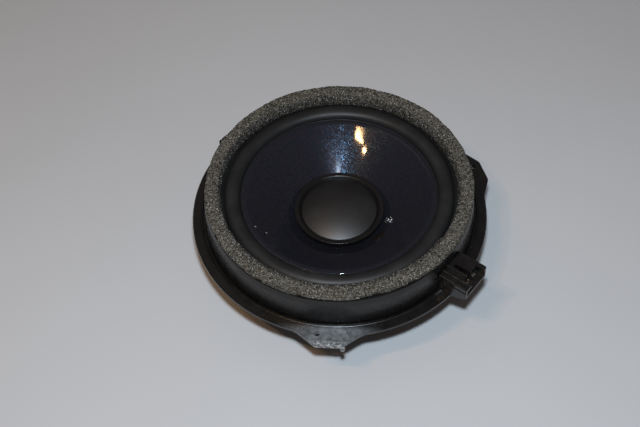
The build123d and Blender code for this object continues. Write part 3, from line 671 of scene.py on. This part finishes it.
def collar_material():
    """Smooth moulded plastic for the collar and its rim."""
    material, tree, shader, place = new_material("Collar plastic")
    grain = group_node(tree, "Moulded grain", {"Vector": place, "Scale": 2500.0})
    dust = group_node(tree, "Settled dust", {"Vector": place, "Amount": 0.12})
    tint = tree.mix(dust["Mask"], (0.0062, 0.0056, 0.0052), (0.10, 0.09, 0.08))
    marks = tree.remap(tree.noise(place, 0.006, 2.0), 0.3, 0.7, 0.26, 0.36)
    join(tree, shader, Base_Color=tint, Roughness=marks, Specular_IOR_Level=0.4,
         Normal=bump(tree, grain["Height"], 0.00002, 0.4))
    return material


def cap_material(settings):
    """Fine matte texture on the cap, with faint dust."""
    material, tree, shader, place = new_material("Matte cap")
    grain = group_node(tree, "Moulded grain", {"Vector": place, "Scale": 2400.0})
    dust = group_node(tree, "Settled dust", {"Vector": place, "Amount": 0.12})
    tint = tree.mix(dust["Mask"], settings.cap, (0.2, 0.2, 0.2))
    join(tree, shader, Base_Color=tint, Roughness=0.455, Specular_IOR_Level=0.95,
         Normal=bump(tree, grain["Height"], 0.00005, 0.6))
    return material


def basket_material(settings):
    """Moulded black frame: fine grain, worn edges, dust, brown scuffs, painted highlight on the first lug,
    and scraping with painted highlight at its tip.
    """
    material, tree, shader, place = new_material("Basket plastic")
    grain = group_node(tree, "Moulded grain", {"Vector": place, "Scale": 1.0 / settings.grain})
    wear = group_node(tree, "Edge wear", {"Vector": place, "Width": 0.0005, "Amount": 0.10})
    dust = group_node(tree, "Settled dust", {"Vector": place, "Amount": 0.08})
    scuff = tree.remap(tree.noise(place, 0.011, 6.0, 0.7), 0.5, 0.75, 0.0, 0.3)
    tint = tree.mix(scuff, settings.tint, (0.017, 0.013, 0.0105))
    tint = tree.mix(dust["Mask"], tint, (0.13, 0.12, 0.11))
    tint = tree.mix(wear["Mask"], tint, settings.worn)
    parts = tree.split(place)
    # Painted highlight: the first lug is painted pale where the lamp lights it, and its tip paler still,
    # partly real scraping and partly painted highlight.
    beside = tree.remap(tree.math("ABSOLUTE", parts["X"]), *LUG_WIDTH)
    lug_highlight = tree.math("MULTIPLY", beside, tree.remap(parts["Y"], *LUG_HIGHLIGHT_Y))
    patchy = tree.remap(tree.noise(place, 0.0028, 5.0, 0.7), 0.28, 0.72, 0.1, 1.0)
    scraped_and_lit = tree.math("MULTIPLY", tree.remap(parts["Y"], *LUG_SCRAPED_LIT_Y),
                        tree.remap(tree.noise(place, 0.0016, 3.0), 0.45, 0.6))
    tint = tree.mix(tree.math("MULTIPLY", lug_highlight, patchy), tint, settings.lug_highlight)
    tint = tree.mix(scraped_and_lit, tint, (0.42, 0.42, 0.41))
    marks = tree.remap(tree.noise(place, 0.007, 4.0, 0.6), 0.3, 0.7, 0.20, 0.36)
    join(tree, shader, Base_Color=tint, Roughness=marks, Normal=bump(tree, grain["Height"], 0.00007, 0.55))
    return material


def connector_material(settings):
    """Glossy black nylon with worn edges."""
    material, tree, shader, place = new_material("Connector nylon")
    grain = group_node(tree, "Moulded grain", {"Vector": place, "Scale": 2200.0})
    wear = group_node(tree, "Edge wear", {"Vector": place, "Width": 0.0004, "Amount": 0.12})
    dust = group_node(tree, "Settled dust", {"Vector": place, "Amount": 0.15})
    tint = tree.mix(dust["Mask"], settings.connector, (0.12, 0.1, 0.085))
    tint = tree.mix(wear["Mask"], tint, (0.07, 0.06, 0.052))
    marks = tree.remap(tree.noise(place, 0.004, 3.0), 0.3, 0.7, 0.2, 0.33)
    join(tree, shader, Base_Color=tint, Roughness=marks, Normal=bump(tree, grain["Height"], 0.00002, 0.4))
    return material


def steel_material(settings):
    """Bright zinc plating: turned rings, a yellowish cast and a few dull spots."""
    material, tree, shader, place = new_material("Plated steel")
    rings = tree.add("ShaderNodeTexWave", {"Vector": place, "Scale": 900.0, "Distortion": 0.6, "Detail": 2.0},
                     wave_type="RINGS", rings_direction="Z")
    spots = tree.remap(tree.noise(place, 0.012, 5.0, 0.65), 0.48, 0.72)
    tint = tree.mix(spots, settings.steel, (0.34, 0.31, 0.24))
    rough = tree.math("MULTIPLY_ADD", spots, 0.22, 0.28)
    join(tree, shader, Base_Color=tint, Metallic=1.0, Roughness=rough,
         Normal=bump(tree, rings.outputs["Fac"], 0.00001, 0.5))
    return material


def ferrite_material(settings):
    """Sintered ferrite: charcoal, finely pitted, with chalky edges."""
    material, tree, shader, place = new_material("Ferrite")
    grain = group_node(tree, "Moulded grain", {"Vector": place, "Scale": 1500.0})
    wear = group_node(tree, "Edge wear", {"Vector": place, "Width": 0.0008, "Amount": 0.7})
    tint = tree.mix(grain["Speckle"], settings.ferrite, (0.03, 0.03, 0.032))
    tint = tree.mix(wear["Mask"], tint, (0.2, 0.2, 0.2))
    join(tree, shader, Base_Color=tint, Roughness=0.58, Normal=bump(tree, grain["Height"], 0.00006, 0.6))
    return material


def copper_material(settings):
    """Enamelled wire: copper under a thin amber coat."""
    material, tree, shader, place = new_material("Enamelled copper")
    shade = tree.remap(tree.noise(place, 0.002, 2.0), 0.3, 0.7)
    tint = tree.mix(shade, settings.copper, (0.4, 0.11, 0.035))
    join(tree, shader, Base_Color=tint, Metallic=1.0, Roughness=0.3, Coat_Weight=0.6, Coat_Roughness=0.15)
    return material


def former_material():
    """Amber film of the former, with fine drawn lines."""
    material, tree, shader, place = new_material("Former film")
    lines = tree.add("ShaderNodeTexWave", {"Vector": place, "Scale": 700.0, "Distortion": 1.0},
                     bands_direction="Z").outputs["Fac"]
    tint = tree.mix(lines, (0.42, 0.24, 0.07), (0.5, 0.3, 0.1))
    join(tree, shader, Base_Color=tint, Metallic=0.6, Roughness=0.34, Normal=bump(tree, lines, 0.00001, 0.4))
    return material


def braid_material():
    """Woven copper tinsel, tarnished between its strands."""
    material, tree, shader, place = new_material("Tinsel braid")
    shade = tree.remap(tree.noise(place, 0.0006, 2.0), 0.35, 0.65)
    tint = tree.mix(shade, (0.55, 0.27, 0.14), (0.3, 0.13, 0.06))
    join(tree, shader, Base_Color=tint, Metallic=1.0, Roughness=0.38)
    return material


def tin_material(name, dull):
    """Tin plate or solder, brighter or duller."""
    material, tree, shader, place = new_material(name)
    shade = tree.remap(tree.noise(place, 0.0012, 3.0), 0.3, 0.7)
    tint = tree.mix(shade, (0.74, 0.72, 0.66), (0.55, 0.53, 0.5))
    rough = tree.math("MULTIPLY_ADD", shade, 0.12, dull)
    join(tree, shader, Base_Color=tint, Metallic=1.0, Roughness=rough)
    return material


def adhesive_material():
    """Cured black adhesive with a wet shine, small pits and painted glints on the first drip's crown."""
    material, tree, shader, place = new_material("Cured adhesive")
    shade = tree.remap(tree.noise(place, 0.0015, 3.0), 0.35, 0.7)
    tint = tree.mix(shade, (0.0045, 0.0038, 0.0034), (0.014, 0.009, 0.006))
    # Painted glints: near-white specks painted on the first drip's crown, as highlights of the lamp.
    glint = tree.math("MULTIPLY", tree.remap(tree.noise(place, 0.0009, 1.0), 0.58, 0.62),
                      spot_mask(tree, place, (DRIPS[0][0], DRIPS[0][1], DRIP_TOP_Z), 0.0035))
    tint = tree.mix(glint, tint, (0.75, 0.75, 0.75))
    join(tree, shader, Base_Color=tint, Roughness=0.14, Normal=bump(tree, shade, 0.0006, 0.9))
    return material


# ---------- pieces ----------

def dress(node, material):
    """Put one material on a CAD node that stays as it is."""
    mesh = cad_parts[node].data
    mesh.materials.clear()
    mesh.materials.append(material)


def finish_piece(piece, material, body=None, nodes=()):
    """Material, slot, ride and the CAD nodes that a new piece stands for."""
    piece.data.materials.append(material)
    if body:
        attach(piece, body)
    if nodes:
        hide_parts(*nodes)
    return piece


def settings_of(context):
    """The scene's settings for the speaker."""
    return context.scene.door_speaker


class SPEAKER_OT_foam(bpy.types.Operator):
    """Foam sealing ring: a rounded outline carried round Z and pushed in by open cells and wear"""
    bl_idname = "speaker.foam"
    bl_label = "Foam ring"

    def execute(self, context):
        """Each point moves along its normal by wandering noise less the depth of the nearest cell. The ring
        is also pulled out of round by a cosine of the angle, hangs out over one stretch and is torn over the
        next."""
        foam = settings_of(context).foam
        grid = spun(rounded(FOAM_OUTLINE, FOAM_RADII, 0.5), 1250)
        normal = outward(grid)
        radius = np.hypot(grid[..., 0], grid[..., 1])
        turn = np.arctan2(grid[..., 1], grid[..., 0])
        pits = foam.cell_depth * ease(cell_distance(grid, foam.cell, 3), 0.75, 0.2)
        wander = foam.sag * value_noise(grid, 0.011, 5) + 0.5 * foam.sag * value_noise(grid, 0.004, 6)
        inside = ease_over(radius, FOAM_BORE_R) * ease_over(grid[..., 2], FOAM_BORE_Z)
        shown = np.maximum(ease_over(grid[..., 2], FOAM_FREE_Z), inside)
        grid = grid + normal * ((wander - pits) * shown)[..., None]

        height = grid[..., 2]
        outer = ease_over(radius, FOAM_RIM_R)
        inner = ease_over(radius, FOAM_THROAT_R) * ease_over(height, FOAM_THROAT_Z)
        bulge = ease(turn, BULGE_FROM, BULGE_FULL) * (turn < BULGE_END)
        pull = outer * LEAN * np.cos(turn - LEAN_TURN)
        pull = pull + inner * (BORE_LEAN * np.sin(turn) - BORE_SQUEEZE - BULGE * bulge)

        before = ease(turn, foam.worn_from, foam.worn_from - TEAR_TURN)
        after = ease(turn, foam.worn_from, foam.worn_from + TEAR_TURN)
        flap = ease(turn, foam.flap_from, foam.flap_from + 0.10) * before
        worn = after * ease(turn, foam.worn_to, foam.worn_to - 0.5)
        ragged = 0.62 + 0.38 * value_noise(grid, 0.0032, 8) + 0.2 * value_noise(grid, 0.0013, 9)
        pull = pull + outer * (foam.flap * flap - foam.worn_depth * worn * np.clip(ragged, 0.1, 1.2))
        pull = pull - outer * NIBBLE * ease(value_noise(grid, 0.006, 12), 0.25, 0.8)
        pull = pull - outer * foam.undercut * flap * ease_over(height, FOAM_UNDERCUT_Z)
        slope = ease_over(radius, FOAM_SLOPE_R) * ease_over(height, FOAM_SLOPE_Z)
        drop = WORN_DROP * worn * slope * np.clip(ragged, 0.3, 1.2)
        grid = grid + np.stack([np.cos(turn) * pull, np.sin(turn) * pull, -drop], axis=-1)
        piece = ring_object("foam_ring", grid)
        finish_piece(piece, foam_material(foam), BASKET, ["foam_gasket"])
        return {"FINISHED"}


class SPEAKER_OT_surround(bpy.types.Operator):
    """Rubber surround: lip, half roll and landing carried round Z"""
    bl_idname = "speaker.surround"
    bl_label = "Surround"

    def execute(self, context):
        """The roll's top line is the upper half of a blunt ellipse. Its underside lies a thickness below."""
        sweep = np.linspace(math.pi, 0.0, 60)
        middle = (ROLL_INNER_R + ROLL_OUTER_R) / 2
        half = (ROLL_OUTER_R - ROLL_INNER_R) / 2
        thick = SURROUND_Z[1] - SURROUND_Z[0]
        foot = np.interp(np.cos(sweep), (-1.0, 1.0), (LIP_Z[1], SURROUND_Z[1]))
        rise = ROLL_TOP_Z - foot
        bow = np.sin(sweep) ** ROLL_BOW
        top = np.stack([middle + half * np.cos(sweep), foot + rise * bow], axis=1)
        under = np.stack([middle + (half - thick) * np.cos(sweep[::-1]),
                          (foot - thick)[::-1] + rise * bow[::-1]], axis=1)
        lip = [(radius, LIP_Z[1] - LIP_SINK) for radius in LIP_R]
        landing = [(radius, SURROUND_Z[1]) for radius in LANDING_R]
        landing_under = [(radius, SURROUND_Z[0]) for radius in LANDING_R[::-1]]
        lip_under = [(LIP_R[2], LIP_Z[0]), (LIP_R[0], LIP_Z[0])]
        outline = np.concatenate([lip, top, landing, landing_under, under, lip_under])[::-1]
        piece = bent_ring("surround_roll", outline, 360)
        finish_piece(piece, rubber_material(settings_of(context).rubber), nodes=["surround"])
        return {"FINISHED"}


def bent_ring(name, outline, turns):
    """Closed ring of an outline carried round Z.

    The ring is first laid out flat, with each point at (radius, 0, 0), and is then given its points round Z.
    """
    grid = spun(outline, turns)
    points = grid.reshape(-1, 3)
    flat = np.zeros_like(points)
    flat[:, 0] = np.hypot(points[:, 0], points[:, 1])
    piece = new_object(name, flat, grid_faces(*grid.shape[:2]))
    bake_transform(piece)
    piece.data.vertices.foreach_set("co", points.astype(np.float32).ravel())
    piece.data.update()
    return piece


class SPEAKER_OT_spider(bpy.types.Operator):
    """Spider: a sine-waved cloth disc carried round Z"""
    bl_idname = "speaker.spider"
    bl_label = "Spider"

    def execute(self, context):
        """Height is the ledge's less A sin(2 pi n x), with x from 0 to 1 across the waved band."""
        rubber = settings_of(context).rubber
        bore, first, last, rim = SPIDER_R
        radius = np.concatenate([np.linspace(bore, first, 8)[:-1], np.linspace(first, last, 145),
                                 np.linspace(last, rim, 8)[1:]])
        x = np.clip((radius - first) / (last - first), 0.0, 1.0)
        wave = -rubber.wave_height / MM * np.sin(2 * math.pi * rubber.waves * x)
        low, high = (np.stack([radius, SPIDER_Z + wave + skin], axis=1) for skin in SPIDER_SKIN)
        outline = np.concatenate([low, high[::-1]])
        piece = bent_ring("spider_disc", outline, 240)
        finish_piece(piece, cloth_material(rubber), nodes=["spider"])
        return {"FINISHED"}


class SPEAKER_OT_cone(bpy.types.Operator):
    """Cone, collar and cap: rounded outlines carried round Z"""
    bl_idname = "speaker.cone"
    bl_label = "Cone and cap"

    def execute(self, context):
        """The dome of the cap is an arc of radius (c^2 + h^2) / 2h over half-chord c and height h."""
        cone = settings_of(context).cone
        body = ring_object("cone_body", spun(rounded(CONE_OUTLINE, CONE_RADII, 0.9), 360))
        finish_piece(body, cone_material(cone), DIAPHRAGM, ["cone"])
        collar = ring_object("cap_collar", spun(rounded(CAP_RING_OUTLINE, CAP_RING_RADII, 0.3), 300))
        finish_piece(collar, collar_material(), DIAPHRAGM, ["cap_ring"])
        crown = cone.crown / MM
        bend = (CAP_EDGE_R ** 2 + crown ** 2) / (2 * crown)
        across = np.linspace(0.0, CAP_EDGE_R, 60)
        top = CAP_SEAT_Z + CAP_THICKNESS + crown - bend + np.sqrt(bend ** 2 - across ** 2)
        outline = np.concatenate([np.stack([across, top], axis=1),
                                  np.stack([across[::-1], top[::-1] - CAP_THICKNESS], axis=1)])[::-1]
        cap = dome_object("cap_dome", outline, 220)
        finish_piece(cap, cap_material(cone), DIAPHRAGM, ["dust_cap"])
        return {"FINISHED"}


class SPEAKER_OT_coil(bpy.types.Operator):
    """Voice coil: an outline scalloped by its turns of wire, carried round Z, and its former and strips"""
    bl_idname = "speaker.coil"
    bl_label = "Voice coil"

    def execute(self, context):
        """Radius is the wire's centre plus w/2 sqrt(1 - u^2), with u from -1 to 1 across each turn."""
        motor = settings_of(context).motor
        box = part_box("voice_coil")
        low, high = (corner.z / MM for corner in box)
        outer = box[1].x / MM
        pitch = motor.wire / MM
        turns = int((high - low) / pitch)
        across = np.linspace(-0.96, 0.96, 6)
        u = np.tile(across, turns)
        height = low + (np.repeat(np.arange(turns), len(across)) + 0.5) * pitch + u * pitch / 2
        bulge = outer - pitch / 2 + pitch / 2 * np.sqrt(1 - u * u)
        bore = [(COIL_BORE_R, high), (COIL_BORE_R, low)]
        outline = np.concatenate([np.stack([bulge, height], axis=1), bore])
        coil = ring_object("coil_winding", spun(outline, 200))
        copper = copper_material(motor)
        finish_piece(coil, copper, DIAPHRAGM, ["voice_coil"])
        dress("coil_lead_strips", copper)
        dress("voice_coil_former", former_material())
        return {"FINISHED"}


def route_points(route, v, end, count):
    """Even points along a lead's smooth route, in the socket's directions, and how far along each one is."""
    curve = bpy.data.curves.new("lead_route", "CURVE")
    curve.dimensions = "3D"
    spline = curve.splines.new("NURBS")
    spline.points.add(len(route) - 1)
    first, last = route[0][0], route[-1][0]
    for point, (u, z) in zip(spline.points, route):
        share = (first - u) / (first - last)
        point.co = ((first + (end[0] - first) * share) * MM, (v + (end[1] - v) * share) * MM, z * MM, 1.0)
    spline.order_u = 3
    spline.use_endpoint_u = True
    curve.resolution_u = 24
    holder = bpy.data.objects.new("lead_route", curve)
    mesh = bpy.data.meshes.new_from_object(holder)
    line = np.array([vertex.co for vertex in mesh.vertices])
    bpy.data.objects.remove(holder)
    bpy.data.curves.remove(curve)
    bpy.data.meshes.remove(mesh)
    reach = np.concatenate([[0.0], np.cumsum(np.linalg.norm(np.diff(line, axis=0), axis=1))])
    even = np.linspace(0.0, reach[-1], count)
    return np.stack([np.interp(even, reach, line[:, axis]) for axis in range(3)], axis=1), even


def braided_lead(name, v, end, thickness, material):
    """Six strands wound round one route, three each way, each a thin tube on a helix."""
    path, even = route_points(LEAD_ROUTE, v, end, 220)
    ahead = path[-1] - path[0]
    side = np.cross(ahead, (0.0, 0.0, 1.0)) / np.hypot(ahead[0], ahead[1])
    tangent = np.gradient(path, axis=0)
    tangent /= np.linalg.norm(tangent, axis=1, keepdims=True)
    normal = np.cross(side, tangent)
    strand = STRAND_SHARE * thickness
    sway = thickness / 2 - strand / 2
    strands = []
    total = 0
    for hand, k in itertools.product((-1, 1), range(3)):
        phase = hand * 2 * math.pi * even / (STRAND_LAY * thickness) + 2 * math.pi * k / 3
        centre = path + sway * (np.cos(phase)[:, None] * normal + np.sin(phase)[:, None] * side)
        strands.append(strand_arrays(tube_grid(centre, side, strand / 2, 6), total))
        total += len(strands[-1][0])
    points, quads, caps = (np.concatenate(part) for part in zip(*strands))
    turn = np.array(Matrix.Rotation(CONNECTOR_ANGLE, 3, "Z"))
    piece = new_object(name, points @ turn.T, quads, caps)
    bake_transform(piece)
    return finish_piece(piece, material, nodes=[name.replace("braid", "lead")])


class SPEAKER_OT_leads(bpy.types.Operator):
    """Tinsel leads: braided strands along the CAD route from the solder tabs to the cone"""
    bl_idname = "speaker.leads"
    bl_label = "Tinsel leads"

    def execute(self, context):
        """A strand's centre is the route plus (R cos p, R sin p) across it, with p growing along it."""
        motor = settings_of(context).motor
        braid = braid_material()
        for name, v, end in zip(("tinsel_braid_positive", "tinsel_braid_negative"), BLADE_V, LEAD_ENDS):
            braided_lead(name, v, end, motor.lead, braid)
        dress("terminal_solder", tin_material("Solder", 0.22))
        return {"FINISHED"}


def drip_object(name, centre_r, centre_turn, size, seed):
    """Drip of adhesive on the cone: half an ellipsoid with noise, over a flat base, set at the cone's slope.

    With s from 0 at the crown to 1 at the foot and t round it, the point is (a s cos t, b s sin t,
    h sqrt(1 - s^2)), times 1 + noise.
    """
    a, b, h = (value * MM for value in size)
    s = np.sin(np.linspace(0.0, math.pi / 2, 15))[1:]
    t = np.linspace(0.0, 2 * math.pi, 48, endpoint=False)[:, None]
    swell = 1 + 0.2 * value_noise(np.stack(np.broadcast_arrays(np.cos(t), np.sin(t), s), axis=-1), 0.6, seed)
    grid = np.stack([a * s * np.cos(t) * swell, b * s * np.sin(t) * swell,
                     h * np.sqrt(np.maximum(0.0, 1 - s * s)) * swell], axis=-1)
    rows, columns = grid.shape[:2]
    points = np.concatenate([grid.reshape(-1, 3), [(0.0, 0.0, h), (0.0, 0.0, 0.0)]])
    rim = np.arange(rows) * columns
    fans = np.concatenate([fan(rim, rows * columns)[:, ::-1], fan(rim + columns - 1, rows * columns + 1)])
    (top_r, top_z), (foot_r, foot_z) = CONE_OUTLINE[8], CONE_OUTLINE[10]
    slope = math.atan2(top_z - foot_z, top_r - foot_r)
    height = foot_z + DRIP_LIFT + math.tan(slope) * (centre_r - foot_r)
    place = np.array(Matrix.Rotation(centre_turn, 4, "Z")
                     @ Matrix.Translation((centre_r * MM, 0.0, height * MM))
                     @ Matrix.Rotation(-slope, 4, "Y"))
    points = points @ place[:3, :3].T + place[:3, 3]
    return new_object(name, points, grid_faces(rows, columns, open_columns=1)[:, TURNED_OVER], fans)


class SPEAKER_OT_adhesive(bpy.types.Operator):
    """Two drips of adhesive beside the collar, one with painted glints, and the dark beads elsewhere"""
    bl_idname = "speaker.adhesive"
    bl_label = "Adhesive"

    def execute(self, context):
        """The two drips stand for the CAD domes, and each covers one of them."""
        glue = adhesive_material()
        for name, seed, (radius, turn, size) in zip(("adhesive_drip", "adhesive_smear"), (21, 22), DRIPS):
            drip = drip_object(name, radius, math.radians(turn), size, seed)
            finish_piece(drip, glue, DIAPHRAGM)
        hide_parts("lead_adhesive_dabs")
        for node in ("neck_adhesive", "foam_bed", "magnet_adhesive_front", "magnet_adhesive_rear"):
            dress(node, glue)
        return {"FINISHED"}


class SPEAKER_OT_basket(bpy.types.Operator):
    """Finish of the frame, the socket and its blades"""
    bl_idname = "speaker.basket"
    bl_label = "Basket and socket"

    def execute(self, context):
        """The CAD shapes stay and take their own materials."""
        basket = settings_of(context).basket
        dress("basket", basket_material(basket))
        dress("connector_housing", connector_material(basket))
        tin = tin_material("Tin plate", 0.16)
        dress("terminal_positive", tin)
        dress("terminal_negative", tin)
        return {"FINISHED"}


class SPEAKER_OT_motor(bpy.types.Operator):
    """Finish of the plates, the pole, the magnet and the screws"""
    bl_idname = "speaker.motor"
    bl_label = "Motor"

    def execute(self, context):
        """The CAD shapes stay and take their own materials."""
        motor = settings_of(context).motor
        steel = steel_material(motor)
        for node in ("back_plate", "pole_piece", "top_plate", "motor_screws"):
            dress(node, steel)
        dress("magnet", ferrite_material(motor))
        return {"FINISHED"}


# ---------- stage ----------

CAMERA_PLACE = (0.03996, -0.44598, 0.62934)
CAMERA_ELEVATION = math.radians(52.97)
CAMERA_AZIMUTH = math.radians(-6.69)
CAMERA_ROLL = math.radians(-2.63)
FLASH_RISE = 0.09
KEY_TINT = (0.86, 1.0, 1.14)
KEY_SIZE = (0.05, 0.04)
KEY_AIM = (0.0, 0.0, 0.05)
SOFT_PLACE = (-0.45, 0.35, 1.2)
SOFT_TINT = (1.0, 0.82, 0.66)
SOFT_SIZE = (0.9, 0.9)
BULB_PLACES = ((-0.350, -0.461, 1.415), (-0.508, -0.476, 1.356))
BULB_TINT = (1.0, 0.60, 0.28)
BULB_SIZES = ((0.19, 0.028), (0.09, 0.028))
FLOOR_REACH = 3.0


def lamp(name, place, watts, tint, size, aim=None):
    """Oval lamp at a place, aimed at a point or straight down."""
    data = bpy.data.lights.new(name, "AREA")
    data.energy = watts
    data.color = tint
    data.shape = "ELLIPSE"
    data.size, data.size_y = size
    made = bpy.data.objects.new(name, data)
    made.location = place
    if aim:
        made.rotation_euler = (Vector(aim) - Vector(place)).to_track_quat("-Z", "Y").to_euler()
    bpy.context.scene.collection.objects.link(made)


def floor_material(settings):
    """Plain pale floor with a breath of mottling."""
    material, tree, shader, place = new_material("Plain floor")
    shade = tree.remap(tree.noise(place, 0.25, 2.0), 0.3, 0.7)
    tint = tree.mix(shade, settings.floor, tuple(0.96 * value for value in settings.floor))
    join(tree, shader, Base_Color=tint, Roughness=0.8, Specular_IOR_Level=0.2)
    return material


class SPEAKER_OT_stage(bpy.types.Operator):
    """Floor, lamps, room light and camera"""
    bl_idname = "speaker.stage"
    bl_label = "Stage"

    def execute(self, context):
        """The camera looks along (sin a cos e, cos a cos e, -sin e), rolled about that line."""
        stage = settings_of(context).stage
        scene = context.scene
        turn = (Matrix.Rotation(-CAMERA_AZIMUTH, 4, "Z")
                @ Matrix.Rotation(math.pi / 2 - CAMERA_ELEVATION, 4, "X")
                @ Matrix.Rotation(CAMERA_ROLL, 4, "Z"))
        camera = bpy.data.objects.new("camera", bpy.data.cameras.new("camera"))
        camera.data.sensor_width = 36.0
        camera.data.lens = stage.lens
        camera.data.clip_start = 0.01
        camera.matrix_world = Matrix.Translation(CAMERA_PLACE) @ turn
        scene.collection.objects.link(camera)
        scene.camera = camera

        corners = np.array([(-1.0, -1.0, 0.0), (1.0, -1.0, 0.0), (1.0, 1.0, 0.0), (-1.0, 1.0, 0.0)])
        floor = new_object("floor", FLOOR_REACH * corners, np.array([[0, 1, 2, 3]]))
        floor.data.materials.append(floor_material(stage))

        above = Vector(CAMERA_PLACE) + FLASH_RISE * (turn @ Vector((0.0, 1.0, 0.0)))
        lamp("key_lamp", above, stage.key, KEY_TINT, KEY_SIZE, KEY_AIM)
        lamp("soft_lamp", SOFT_PLACE, stage.soft, SOFT_TINT, SOFT_SIZE)
        for name, place, size in zip(("bulb_high", "bulb_low"), BULB_PLACES, BULB_SIZES):
            lamp(name, place, stage.bulb, BULB_TINT, size)

        world = bpy.data.worlds.new("room")
        world.use_nodes = True
        tree = Tree(world.node_tree)
        way = tree.add("ShaderNodeTexCoord").outputs["Generated"]
        rise = tree.remap(tree.split(way)["Z"], 0.15, 0.95)
        glow = tree.mix(rise, stage.low_room, stage.high_room)
        tree.put(world.node_tree.nodes["Background"].inputs["Color"], glow)
        scene.world = world
        scene.view_settings.view_transform = "Standard"
        return {"FINISHED"}


# ---------- add-on ----------

class SpeakerSettings(bpy.types.PropertyGroup):
    """All settings of the speaker."""
    foam: PointerProperty(type=FoamSettings, name="Foam", description="Foam ring")
    rubber: PointerProperty(type=RubberSettings, name="Rubber", description="Surround and spider")
    cone: PointerProperty(type=ConeSettings, name="Cone", description="Cone, collar and cap")
    basket: PointerProperty(type=BasketSettings, name="Basket", description="Frame and connector")
    motor: PointerProperty(type=MotorSettings, name="Motor", description="Magnet, plates, coil and leads")
    stage: PointerProperty(type=StageSettings, name="Stage", description="Floor, lamps and camera")


class SPEAKER_PT_panel(bpy.types.Panel):
    """Lists the speaker's operators and settings."""
    bl_idname = "SPEAKER_PT_panel"
    bl_label = "Door loudspeaker"
    bl_space_type = "VIEW_3D"
    bl_region_type = "UI"
    bl_category = "Speaker"

    def draw(self, context):
        """One button for each operator, then the settings of each group."""
        for operator in OPERATORS:
            self.layout.operator(operator.bl_idname)
        for part in SpeakerSettings.__annotations__:
            group = getattr(settings_of(context), part)
            box = self.layout.box()
            box.label(text=type(group).__doc__)
            for key in type(group).__annotations__:
                box.prop(group, key)


OPERATORS = (SPEAKER_OT_stage, SPEAKER_OT_basket, SPEAKER_OT_motor, SPEAKER_OT_foam, SPEAKER_OT_surround,
             SPEAKER_OT_spider, SPEAKER_OT_cone, SPEAKER_OT_coil, SPEAKER_OT_leads, SPEAKER_OT_adhesive)
CLASSES = (FoamSettings, RubberSettings, ConeSettings, BasketSettings, MotorSettings, StageSettings,
           SpeakerSettings, *OPERATORS, SPEAKER_PT_panel)


def register():
    """Register every class and the scene's settings."""
    for item in CLASSES:
        bpy.utils.register_class(item)
    bpy.types.Scene.door_speaker = PointerProperty(type=SpeakerSettings)


def unregister():
    """Take the settings and every class away again."""
    del bpy.types.Scene.door_speaker
    for item in reversed(CLASSES):
        bpy.utils.unregister_class(item)


def main():
    """Build every piece in order."""
    register()
    for operator in OPERATORS:
        group, name = operator.bl_idname.split(".")
        getattr(getattr(bpy.ops, group), name)()


if __name__ == "__main__":
    main()
